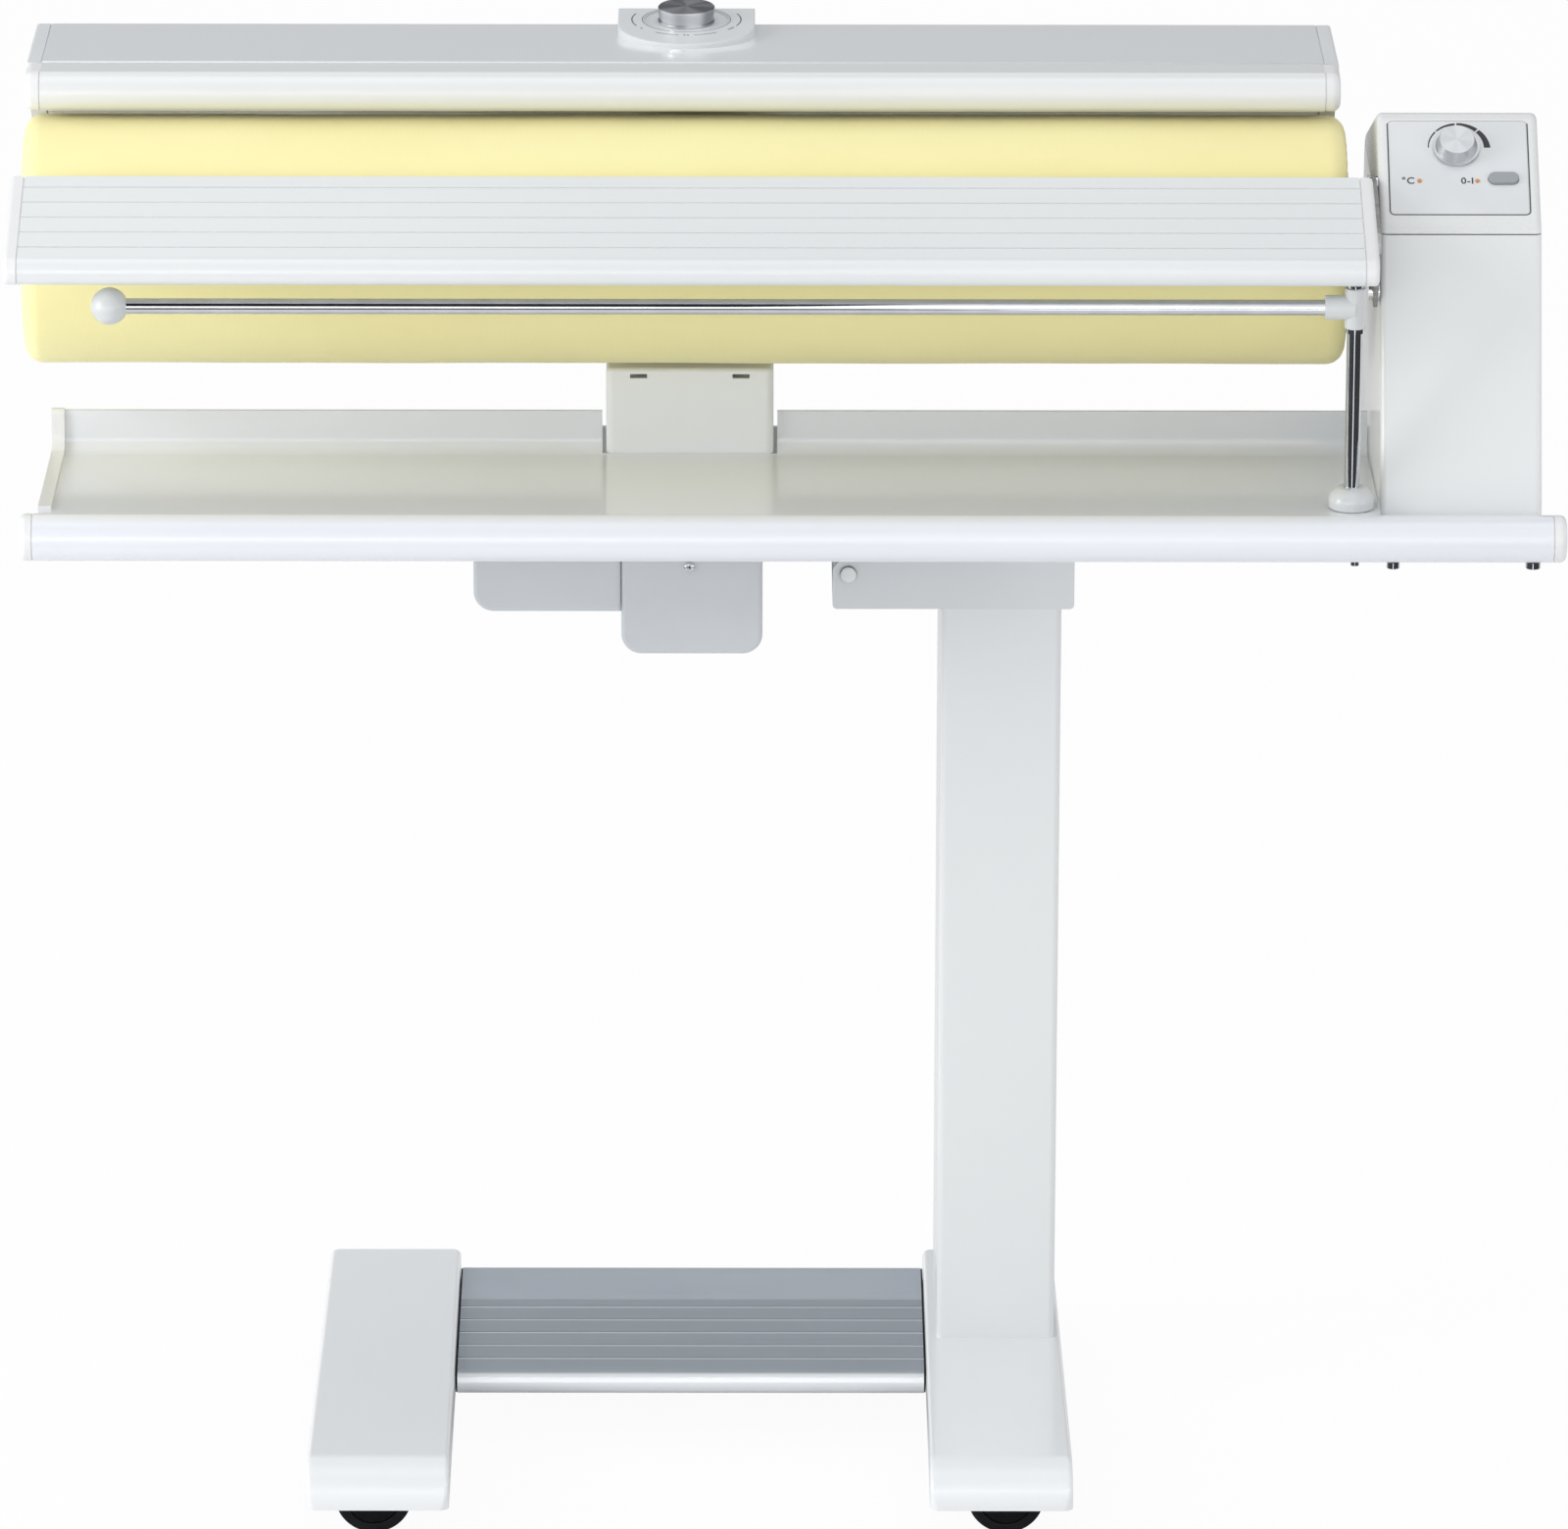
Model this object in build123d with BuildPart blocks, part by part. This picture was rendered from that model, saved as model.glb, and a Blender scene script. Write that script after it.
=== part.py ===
from build123d import *

import os
from math import cos, radians, sin, tan

# A free-standing flatwork ironer: a cantilevered padded roller, a curved heater that is pressed
# onto it, a feed board, a towel rail and a laundry tray on one column with two wheeled feet.
# Millimetres. X runs to the right, Y away from the operator, Z up from the floor.
# The origin lies on the floor, in the middle of the overall width and depth.

# --- Clearances ---------------------------------------------------------------------------------
running = 0.05          # radial play of a shaft or pin in its bore
seat = 0.3              # gap between a piece and what it rests against, on another body
touch = 0.1             # gap between two rings that sit in one another on one body

# --- Stand: feet, wheels and pedal --------------------------------------------------------------
foot_length = 382.0
foot_front_width = 93.0
foot_back_width = 88.0
foot_height = 28.0
foot_underside = 31.0
foot_wall = 2.5
foot_edge = 3.0         # rounding of the top edges
feet_gap = 313.0        # between the inner sides of the feet
right_foot_x = 94.8     # inner side of the right foot

wheel_radius = 25.0
wheel_width = 22.0
wheel_inset = 45.0      # wheel centre from the end of the foot
wheel_outboard = 3.5    # wheel centre from the middle of the foot
axle_radius = 4.0
fork_wall = 2.5
fork_play = 0.8         # between the wheel's side and the fork

crossbar_width = 30.0
crossbar_height = 9.0
crossbar_wall = 2.0
crossbar_inset = 40.0   # crossbar in front of the pedal's pins
spring_width = 30.0
spring_tail = 12.0      # spring behind the crossbar's middle
spring_bend = 8.0
spring_reach = 34.0     # spring's tip in front of the crossbar's middle

pedal_depth = 177.0
pedal_inset = 20.0      # pedal's back edge from the feet's back ends
pedal_thickness = 17.0
pedal_top_front = 50.0
pedal_slope = 0.9       # degrees, rising to the back
pedal_wall = 2.2
pedal_side_gap = 1.5
pedal_groove = 1.6
pedal_grooves = 5
pedal_first_groove = 25.8  # from the pedal's front edge
pedal_groove_pitch = 21.4
switch_length = 28.0    # pedal switch on the crossbar
switch_depth = 12.0
switch_aside = 60.0     # switch to the right of the spring
pedal_pin_radius = 3.0
pedal_pin_inset = 8.0   # pin from the pedal's back edge

# --- Column and fold joint ----------------------------------------------------------------------
column_width = 78.5
column_depth = 145.0
column_wall = 2.5
column_corner = 4.0
column_front_y = 33.6
column_base = 6.0       # plate in the column's foot
column_side = 7.0       # column's left side from the foot's inner side
head_bottom = 576.0
head_length = 157.5
head_wall = 3.0
head_margin = 7.0       # cheek's outside beyond the column's front and back
head_right = 8.0        # head's right end beyond the column

fold_pin_radius = 4.0
fold_pin_x_inset = 10.2  # pin from the head's left end
fold_pin_height = 24.2   # pin above the head's underside
beam_height_over_pin = 11.8
lug_thickness = 6.0
lug_radius = 9.5

# --- Upper unit: chassis and tray ---------------------------------------------------------------
housing_left = 376.5
housing_width = 102.5
arm_x = -62.0           # middle plane of the heater arm, its bearing and its drive

beam_wall = 3.0
beam_flange = 38.0
beam_left = -300.0
bearing_wall = 6.0      # cheeks of the heater arm's bearing on the beam
base_plate = 4.0        # plate under the housing

tube_radius = 15.0
tube_wall = 2.0
tube_center_z = 694.3
tube_front_y = -191.0
tube_beyond_housing = 5.5
tube_length = 961.0
tube_cap = 8.5
tray_length = 841.2
tray_wall = 2.0
tray_slope = 5.5        # degrees, falling to the back
rim_height = 28.0
rim_y = 3.0
tray_cap = 8.3
bracket_thickness = 5.0 # brackets under the tray

cover_width = 108.0     # arm bearing cover
cover_front_y = -3.0
cover_top_z = 750.0
cover_depth = 78.0
cover_wall = 2.5
notch_gap = 2.5         # between the cover and the cut in the tray's rim

box_split = -44.0       # joint of the two drive boxes from the arm's middle
box_right_width = 91.0
box_left_width = 95.0
box_front_y = -60.0
box_wall = 2.0
box_right_bottom = 575.0
box_left_bottom = 603.8
box_top = 686.0
box_corner = 13.0
box_screw_radius = 2.0
box_screw_z = 635.0

# --- Roller -------------------------------------------------------------------------------------
roller_radius = 80.0
roller_length = 846.0
roller_z = 836.8
roller_gap = 18.5       # roller's right end to the housing
roller_corner = 12.0
cloth = 1.5
padding = 6.0
core_wall = 2.5
core_inset = 8.0        # core's ends inside the cloth
end_disc = 4.0
end_disc_inset = 6.0
shaft_radius = 10.0
bearing_radius = 20.0
bearing_width = 12.0

# --- Heater unit --------------------------------------------------------------------------------
arm_pivot_y = 100.0
arm_pivot_z = 700.0
arm_travel = 3.2        # degrees from open to pressed
arm_width = 70.0
arm_depth = 30.0
arm_behind = 20.0       # middle of the arm's box behind its pivot
arm_wall = 3.0
arm_pin_radius = 6.0
hub_radius = 14.0
yoke_y = 40.0
yoke_thickness = 8.0
eccentric_radius = 10.0
eccentric_z = 640.0
yoke_play = 0.8
motor_radius = 29.0
gear_depth = 22.0
gear_face = 62.0
drive_shaft_radius = 6.0

shoe_play = 0.6         # shoe to roller when pressed
shoe_thickness = 7.0
shoe_front_angle = 8.0  # degrees behind the shoe's highest point
shoe_back_angle = 98.0
heater_length = 841.0
heater_gap = 22.5       # heater's right end to the housing
heater_cap = 10.0
top_wall = 2.0
top_front_y = 19.5
top_over_roller = 31.7  # cover's top front edge above the cloth
top_back_y = 147.0
top_slope = 4.6         # degrees, falling to the back
top_corner = 9.0
top_skirt = 115.5       # skirt at the back, from the cover's top front edge

guard_radius = 12.5
guard_drop = 12.5       # guard's middle below the cover's top front edge
guard_wall = 2.0
guard_hinge_inset = 4.5 # hinge in front of the cover
guard_hinge_rise = 6.0  # hinge above the guard's middle
guard_pin_radius = 2.0
guard_lug_radius = 3.4
guard_gap = 1.5         # guard's back edge to the cover's front
guard_cap_round = 5.0

knob_y = 120.0
knob_aside = 2.6        # knob to the left of the arm's middle
knob_radius = 18.4
knob_height = 10.0
knob_gap = 0.2          # knob above the floor of the plinth's recess
knob_stem = 3.5
knob_flange = 1.0       # height of the foot ring, and how far the side starts inside it
knob_edge = 0.6
plinth_width = 88.8
plinth_height = 9.758   # plinth's top above the cover's back edge
plinth_arc_y = 108.0
plinth_recess_radius = 27.6
plinth_recess = 1.2
thermostat_drop = 5.2   # thermostat's top under the cover's back edge

top_front_z = roller_z + roller_radius + top_over_roller
top_skirt_z = top_front_z - top_skirt
guard_center_z = top_front_z - guard_drop
guard_hinge_y = top_front_y - guard_hinge_inset
guard_hinge_z = guard_center_z + guard_hinge_rise
seam_width = 0.8        # groove round a cap where it meets its neighbour
seam_depth = 0.8

# --- Feed board and rail ------------------------------------------------------------------------
board_length = 865.5
board_gap = 4.0         # board's right end to the housing
board_cap = 9.0
board_thickness = 19.0
board_wall = 2.0
board_back_y = -66.0
board_back_z = 899.0
board_width = 99.0      # along its slope, without the nose
board_slope = 13.6      # degrees, falling to the front
board_grooves = 5
board_first_groove = 13.9  # from the board's back edge
board_groove_pitch = 18.3
board_groove = 0.8
board_bolt_radius = 3.0
low_bolt_out = 24.0     # bolts of the board's plate, from the board's back top edge
low_bolt_drop = 68.0
high_bolt_in = 21.0
high_bolt_drop = 11.0
plate_reach = 66.0      # plate's front corners, from the same edge
plate_drop = 30.0
plate_chamfer = 12.0

post_radius = 5.0
post_x_inset = 18.5     # post to the housing's left side
post_y = -152.0
dome_radius = 14.6
rail_z = 840.0
rail_radius = 5.0
rail_length = 785.0     # post to ball
ball_radius = 11.8
tee_radius = 6.5
tee_height = 26.0
sleeve_radius = 7.8
sleeve_length = 19.0

# --- Housing ------------------------------------------------------------------------------------
housing_wall = 2.5
housing_back_y = 125.0
housing_bottom_z = 688.0
lip_y = -88.0
lip_z = 871.5
lip_drop = 3.0          # height of the control head's upright lip
lip_radius = 5.0
front_foot_y = -160.0
panel_slope = 36.4      # degrees
panel_length = 92.8
ridge_radius = 12.0
roof_back_z = 870.0
shoulder_radius = 30.0
head_seam = 0.8
side_round = 4.0
panel_width = 89.0
panel_height = 74.4
panel_up = 48.5         # inset panel's middle above the lip, along the slope
panel_depth = 1.0
dial_up = 64.6
dial_aside = -1.0       # from the housing's middle
dial_base_radius = 15.0
dial_base_height = 2.0
dial_cap_radius = 11.0
dial_height = 8.8
dial_stem = 3.0
lamp_radius = 1.4
lamp_up = 38.2
lamp_asides = (-25.3, 11.6)
button_up = 39.9
button_aside = 28.3
button_width = 19.4
button_height = 8.6
button_proud = 2.2
button_depth = 6.0
gland_radius = 9.0
gland_bore = 3.5
gland_neck = 7.0
gland_length = 12.0
gland_z = 720.0
plate_thickness = 4.0   # bearing plate inside the housing
collar_radius = 26.0
gearbox_depth = 28.0
gearbox_length = 130.0
gearbox_height = 76.0
gearbox_back = 32.0     # gearbox's middle behind the roller's axis
gearbox_drop = 6.0
roller_motor_radius = 29.0
roller_motor_length = 52.0
roller_motor_y = 66.0
roller_motor_drop = 14.0
plate_front_y = -60.0   # bearing plate's front and back edges
plate_back_y = 105.0
plate_over_axis = 32.0
gearbox_play = 2.0      # gearbox to the housing's right wall

# --- Places worked out from the sizes -----------------------------------------------------------
foot_top = foot_underside + foot_height
foot_front_y = -foot_length / 2
fork_top = foot_top - foot_wall
left_foot_x = right_foot_x - feet_gap
pedal_back_y = foot_length / 2 - pedal_inset
pedal_front_y = pedal_back_y - pedal_depth
pedal_rise = tan(radians(pedal_slope))
nose_radius = pedal_thickness / 2
pedal_pin_y = pedal_back_y - pedal_pin_inset
pedal_pin_z = pedal_top_front - nose_radius + (pedal_pin_y - pedal_front_y) * pedal_rise
column_left = right_foot_x + column_side
column_x = column_left + column_width / 2
column_y = column_front_y + column_depth / 2
column_back_y = column_front_y + column_depth
head_left_x = column_left + column_width + head_right - head_length
cheek_front_y = column_front_y - head_margin
cheek_back_y = column_back_y + head_margin
pin_x = head_left_x + fold_pin_x_inset
pin_z = head_bottom + fold_pin_height
beam_bottom = pin_z + beam_height_over_pin
beam_front_y = cheek_front_y + head_wall
beam_back_y = cheek_back_y - head_wall
beam_floor = beam_bottom + beam_wall
beam_top = beam_bottom + beam_flange

housing_right = housing_left + housing_width
tube_y = tube_front_y + tube_radius
tube_right = housing_right + tube_beyond_housing
tube_left = tube_right - tube_length
tray_right = housing_left - 1.0
tray_left = tray_right - tray_length
flat_front_y = tube_y + 0.7 * tube_radius
flat_front_z = tube_center_z + tube_radius - 1.5
flat_back_z = flat_front_z - (rim_y - flat_front_y) * tan(radians(tray_slope))
bracket_gap = cover_width - 2 * (cover_wall + touch + bearing_wall)

roller_right = housing_left - roller_gap
roller_left = roller_right - roller_length
padding_radius = roller_radius - cloth - touch
core_radius = padding_radius - padding - touch

shoe_open = radians(arm_travel)
shoe_y = arm_pivot_y - arm_pivot_y * cos(shoe_open) + (roller_z - arm_pivot_z) * sin(shoe_open)
shoe_z = arm_pivot_z + arm_pivot_y * sin(shoe_open) + (roller_z - arm_pivot_z) * cos(shoe_open)
shoe_inner = roller_radius + shoe_play
shoe_outer = shoe_inner + shoe_thickness
heater_right = housing_left - heater_gap
heater_left = heater_right - heater_length
top_left = heater_left + heater_cap
top_right = heater_right - heater_cap
top_back_z = top_front_z - (top_back_y - top_front_y) * tan(radians(top_slope))
plinth_top = top_back_z + plinth_height
knob_bottom = plinth_top - plinth_recess + knob_gap
knob_top = knob_bottom + knob_height
thermostat_top = top_back_z - thermostat_drop
eccentric_throw = (arm_pivot_y - yoke_y) * sin(shoe_open) / 2

board_right = housing_left - board_gap
board_left = board_right - board_length
post_x = housing_left - post_x_inset
ball_x = post_x - rail_length
knob_x = arm_x - knob_aside

panel_rise = radians(panel_slope)
ridge_y = lip_y + panel_length * cos(panel_rise)
ridge_z = lip_z + panel_length * sin(panel_rise)
seam_z = lip_z - lip_drop
housing_x = housing_left + housing_width / 2
plate_x = housing_left + housing_wall + 1.0
gearbox_x = housing_right - housing_wall - gearbox_play - gearbox_depth


# --- Small helpers ------------------------------------------------------------------------------
def across(x):
    """The plane at X = x whose sketches are drawn in Y and Z and extruded along +X."""
    return Plane.YZ.offset(x)


def facing(y):
    """The plane at Y = y whose sketches are drawn in X and Z and extruded along -Y."""
    return Plane.XZ.offset(-y)


def lying(z):
    """The plane at Z = z whose sketches are drawn in X and Y and extruded along +Z."""
    return Plane.XY.offset(z)


def on_slope(x, y, z, angle):
    """A plane with its Y axis rising to the back at an angle, and its Z axis out of the slope."""
    rise = radians(angle)
    return Plane(origin=(x, y, z), x_dir=(1, 0, 0), z_dir=(0, -sin(rise), cos(rise)))


# --- Feet: hollow shells with a quarter-round nose, open below ----------------------------------
def foot_block(inner_x, side, inset):
    """A foot's solid shape, drawn in by an inset on every side but the underside.

    side is +1 where the foot lies to the right of its inner side and -1 to the left.
    """
    front = foot_front_y + inset
    back = -foot_front_y - inset
    near = inner_x + side * inset
    with BuildPart() as block:
        with BuildSketch(across(inner_x - foot_front_width)):
            with BuildLine():
                nose = Line((back, foot_underside), (front, foot_underside))
                radius = foot_height - inset
                shoulder = radius * (1 - cos(radians(45.0)))
                arc = ThreePointArc(
                    nose @ 1,
                    (front + shoulder, foot_top - inset - shoulder),
                    (front + radius, foot_top - inset),
                )
                top = Line(arc @ 1, (back, foot_top - inset))
                Line(top @ 1, nose @ 0)
            make_face()
        extrude(amount=2 * foot_front_width)
        with BuildSketch(lying(foot_underside)):
            Polygon(
                (near, front),
                (inner_x + side * (foot_front_width - inset), front),
                (inner_x + side * (foot_back_width - inset), back),
                (near, back),
                align=None,
            )
            fillet(vertices(), 6.0 - inset)
        extrude(amount=foot_height, mode=Mode.INTERSECT)
    return block


def foot(inner_x, side):
    """A foot shell with its top edges rounded and its hole for the pedal's pin."""
    inside = foot_block(inner_x, side, foot_wall).part
    outer = foot_block(inner_x, side, 0.0)
    with BuildPart() as shell:
        add(outer.part)
        flat_top = shell.faces().filter_by(Axis.Z).sort_by(Axis.Z)[-1]
        long_edges = flat_top.edges().filter_by(lambda edge: edge.length > foot_length / 2)
        fillet(long_edges, foot_edge)
        add(inside, mode=Mode.SUBTRACT)
        with BuildSketch(across(inner_x - foot_wall - 1.0)):
            with Locations((pedal_pin_y, pedal_pin_z)):
                Circle(pedal_pin_radius)
        extrude(amount=2 * foot_wall + 2.0, mode=Mode.SUBTRACT)
    return shell


left_foot = foot(left_foot_x, -1)
right_foot = foot(right_foot_x, 1)

# --- Wheels, which roll sideways, in forks under the feet ---------------------------------------
wheel_y = foot_length / 2 - wheel_inset
left_wheel_x = left_foot_x - foot_front_width / 2 - wheel_outboard
right_wheel_x = right_foot_x + foot_front_width / 2 + wheel_outboard
wheel_places = {
    "wheel_front_left": (left_wheel_x, -wheel_y),
    "wheel_front_right": (right_wheel_x, -wheel_y),
    "wheel_rear_left": (left_wheel_x, wheel_y),
    "wheel_rear_right": (right_wheel_x, wheel_y),
}
cheek_gap = wheel_width / 2 + fork_play


def wheel(x, y):
    """A wheel with a rounded tread and a recess in each side."""
    with BuildPart() as tyre:
        with BuildSketch(facing(y + wheel_width / 2)):
            with Locations((x, wheel_radius)):
                Circle(wheel_radius)
                Circle(axle_radius + running, mode=Mode.SUBTRACT)
        extrude(amount=wheel_width)
        rims = tyre.edges().filter_by(GeomType.CIRCLE).sort_by(SortBy.RADIUS)[-2:]
        fillet(rims, 3.0)
        for side_y, inward in ((y + wheel_width / 2, 1), (y - wheel_width / 2, -1)):
            with BuildSketch(facing(side_y)):
                with Locations((x, wheel_radius)):
                    Circle(wheel_radius * 0.72)
                    Circle(wheel_radius * 0.34, mode=Mode.SUBTRACT)
            extrude(amount=inward * 2.5, mode=Mode.SUBTRACT)
    return tyre


wheels = {name: wheel(x, y) for name, (x, y) in wheel_places.items()}

with BuildPart() as wheel_forks:
    for x, y in wheel_places.values():
        with BuildSketch(lying(fork_top - fork_wall)):
            with Locations((x, y)):
                Rectangle(wheel_radius * 1.4, 2 * (cheek_gap + fork_wall))
        extrude(amount=fork_wall)
        for inside_y in (y - cheek_gap, y + cheek_gap + fork_wall):
            with BuildSketch(facing(inside_y)):
                with Locations((x, wheel_radius + (fork_top - wheel_radius) / 2)):
                    Rectangle(2 * axle_radius + 5, fork_top - wheel_radius)
                with Locations((x, wheel_radius)):
                    Circle(axle_radius + 2.5)
                    Circle(axle_radius, mode=Mode.SUBTRACT)
            extrude(amount=fork_wall)

with BuildPart() as wheel_axles:
    for x, y in wheel_places.values():
        end_y = y + cheek_gap + fork_wall + 1.5
        with BuildSketch(facing(end_y)):
            with Locations((x, wheel_radius)):
                Circle(axle_radius)
        extrude(amount=2 * (cheek_gap + fork_wall) + 3.0)

# --- Crossbar between the feet, with the pedal's return spring and switch on it -----------------
pedal_left = left_foot_x + pedal_side_gap
pedal_right = right_foot_x - pedal_side_gap
crossbar_y = pedal_pin_y - crossbar_inset
crossbar_bottom = foot_underside - 14.0

with BuildPart() as foot_crossbar:
    with BuildSketch(across(left_foot_x - foot_wall - 12.0)):
        with Locations((crossbar_y, crossbar_bottom + crossbar_height / 2)):
            Rectangle(crossbar_width, crossbar_height)
            Rectangle(
                crossbar_width - 2 * crossbar_wall,
                crossbar_height - 2 * crossbar_wall,
                mode=Mode.SUBTRACT,
            )
    extrude(amount=feet_gap + 2 * (foot_wall + 12.0))
    for inner_x, side in ((left_foot_x, -1), (right_foot_x, 1)):
        with BuildSketch(lying(crossbar_bottom + crossbar_height)):
            with Locations((inner_x + side * (foot_wall + 7.0), crossbar_y)):
                Rectangle(10.0, crossbar_width)
        extrude(amount=fork_top - crossbar_bottom - crossbar_height)

# --- Foot pedal: a ribbed extrusion hinged at its back edge -------------------------------------
def pedal_outline(inset):
    """The pedal's section: a slab with a round front edge and a square back edge."""
    radius = nose_radius - inset
    center_y = pedal_front_y + nose_radius
    center_z = pedal_top_front - nose_radius
    back = pedal_back_y - inset
    lift = (back - center_y) * pedal_rise
    with BuildSketch() as outline:
        with BuildLine():
            top = Line((back, center_z + radius + lift), (center_y, center_z + radius))
            nose = ThreePointArc(
                top @ 1, (center_y - radius, center_z), (center_y, center_z - radius)
            )
            under = Line(nose @ 1, (back, center_z - radius + lift))
            Line(under @ 1, top @ 0)
        make_face()
    return outline.sketch


with BuildPart() as pedal:
    with BuildSketch(across(pedal_left)):
        add(pedal_outline(0.0))
        add(pedal_outline(pedal_wall), mode=Mode.SUBTRACT)
        with Locations((pedal_pin_y - 1.0, pedal_pin_z)):
            Circle(pedal_pin_radius + pedal_wall + 1.0)
        with Locations((pedal_pin_y, pedal_pin_z)):
            Circle(pedal_pin_radius + running, mode=Mode.SUBTRACT)
    extrude(amount=pedal_right - pedal_left)
    for index in range(pedal_grooves):
        groove_y = pedal_front_y + pedal_first_groove + index * pedal_groove_pitch
        groove_z = pedal_top_front + (groove_y - pedal_front_y - nose_radius) * pedal_rise
        with BuildSketch(across(pedal_left)):
            with Locations((groove_y, groove_z)):
                Rectangle(pedal_groove, 1.6)
        extrude(amount=pedal_right - pedal_left, mode=Mode.SUBTRACT)

pin_engagement = 24.0
with BuildPart() as pedal_hinge_pins:
    for inner_x, side in ((left_foot_x, 1), (right_foot_x, -1)):
        with BuildSketch(across(inner_x - side * (foot_wall + 4.0))):
            with Locations((pedal_pin_y, pedal_pin_z)):
                Circle(pedal_pin_radius)
        extrude(amount=side * (pin_engagement + foot_wall + 4.0))

pedal_under = pedal_top_front - pedal_thickness + (
    crossbar_y - pedal_front_y - nose_radius
) * pedal_rise
spring_x = (left_foot_x + right_foot_x) / 2
spring_leaf = 1.2
spring_seat_z = crossbar_bottom + crossbar_height
with BuildPart() as pedal_return_spring:
    with BuildSketch(across(spring_x - spring_width / 2)):
        Polygon(
            (crossbar_y + spring_tail, spring_seat_z),
            (crossbar_y - spring_bend, spring_seat_z),
            (crossbar_y - spring_reach, pedal_under - seat - 0.3 - spring_leaf),
            (crossbar_y - spring_reach, pedal_under - seat - 0.3),
            (crossbar_y - spring_bend, spring_seat_z + spring_leaf),
            (crossbar_y + spring_tail, spring_seat_z + spring_leaf),
            align=None,
        )
    extrude(amount=spring_width)

switch_height = 4.0
with BuildPart() as pedal_switch:
    with BuildSketch(lying(spring_seat_z)):
        with Locations((spring_x + switch_aside, crossbar_y + 8.0)):
            Rectangle(switch_length, switch_depth)
    extrude(amount=switch_height)

# --- Column, its head and the fold pin ----------------------------------------------------------
with BuildPart() as column:
    with BuildSketch(lying(foot_top)):
        with Locations((column_x, column_y)):
            RectangleRounded(column_width, column_depth, column_corner)
            RectangleRounded(
                column_width - 2 * column_wall,
                column_depth - 2 * column_wall,
                column_corner - column_wall,
                mode=Mode.SUBTRACT,
            )
    extrude(amount=head_bottom - foot_top)
    with BuildSketch(lying(foot_top)):
        with Locations((column_x, column_y)):
            Rectangle(column_width - column_wall, column_depth - column_wall)
    extrude(amount=column_base)

cheek_top = pin_z + fold_pin_x_inset
with BuildPart() as column_head:
    with BuildSketch(facing(cheek_back_y)):
        with BuildLine():
            rise = Line((head_left_x, head_bottom), (head_left_x, pin_z))
            bulge = fold_pin_x_inset * cos(radians(45.0))
            turn = ThreePointArc(
                rise @ 1, (pin_x - bulge, pin_z + bulge), (pin_x, cheek_top)
            )
            top = Line(turn @ 1, (head_left_x + head_length, cheek_top))
            fall = Line(top @ 1, (head_left_x + head_length, head_bottom))
            Line(fall @ 1, rise @ 0)
        make_face()
        corners = vertices().group_by(Axis.Y)[0]
        fillet(corners, 3.0)
    extrude(amount=cheek_back_y - cheek_front_y)
    with BuildSketch(lying(head_bottom + head_wall)):
        with Locations((head_left_x + head_length / 2, (cheek_front_y + cheek_back_y) / 2)):
            Rectangle(head_length + 2.0, cheek_back_y - cheek_front_y - 2 * head_wall)
    extrude(amount=cheek_top, mode=Mode.SUBTRACT)
    with BuildSketch(facing(cheek_back_y)):
        with Locations((pin_x, pin_z)):
            Circle(fold_pin_radius)
    extrude(amount=cheek_back_y - cheek_front_y, mode=Mode.SUBTRACT)

pin_proud = 2.0
with BuildPart() as fold_pin:
    with BuildSketch(facing(cheek_back_y + pin_proud)):
        with Locations((pin_x, pin_z)):
            Circle(fold_pin_radius)
    extrude(amount=cheek_back_y - cheek_front_y + 2 * pin_proud)

clip_thickness = 1.0
with BuildPart() as fold_pin_clips:
    for clip_y in (cheek_front_y, cheek_back_y + clip_thickness):
        with BuildSketch(facing(clip_y)):
            with Locations((pin_x, pin_z)):
                Circle(fold_pin_radius + 1.4)
                Circle(fold_pin_radius, mode=Mode.SUBTRACT)
        extrude(amount=clip_thickness)

buffer_x = head_left_x + head_length - 18.0
with BuildPart() as rest_buffers:
    with BuildSketch(lying(head_bottom + head_wall)):
        with Locations((buffer_x, cheek_front_y + 40.0), (buffer_x, cheek_back_y - 40.0)):
            Circle(9.0)
    extrude(amount=beam_bottom - seat - head_bottom - head_wall)

# --- Chassis beam: a channel that carries the upper unit, with its pivot lugs -------------------
beam_right = housing_right - 2.0
beam_y = (beam_front_y + beam_back_y) / 2
motor_x = arm_x


def tray_top(y):
    """The height of the tray's sloping flat at a depth."""
    return flat_front_z - (y - flat_front_y) * tan(radians(tray_slope))


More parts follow.
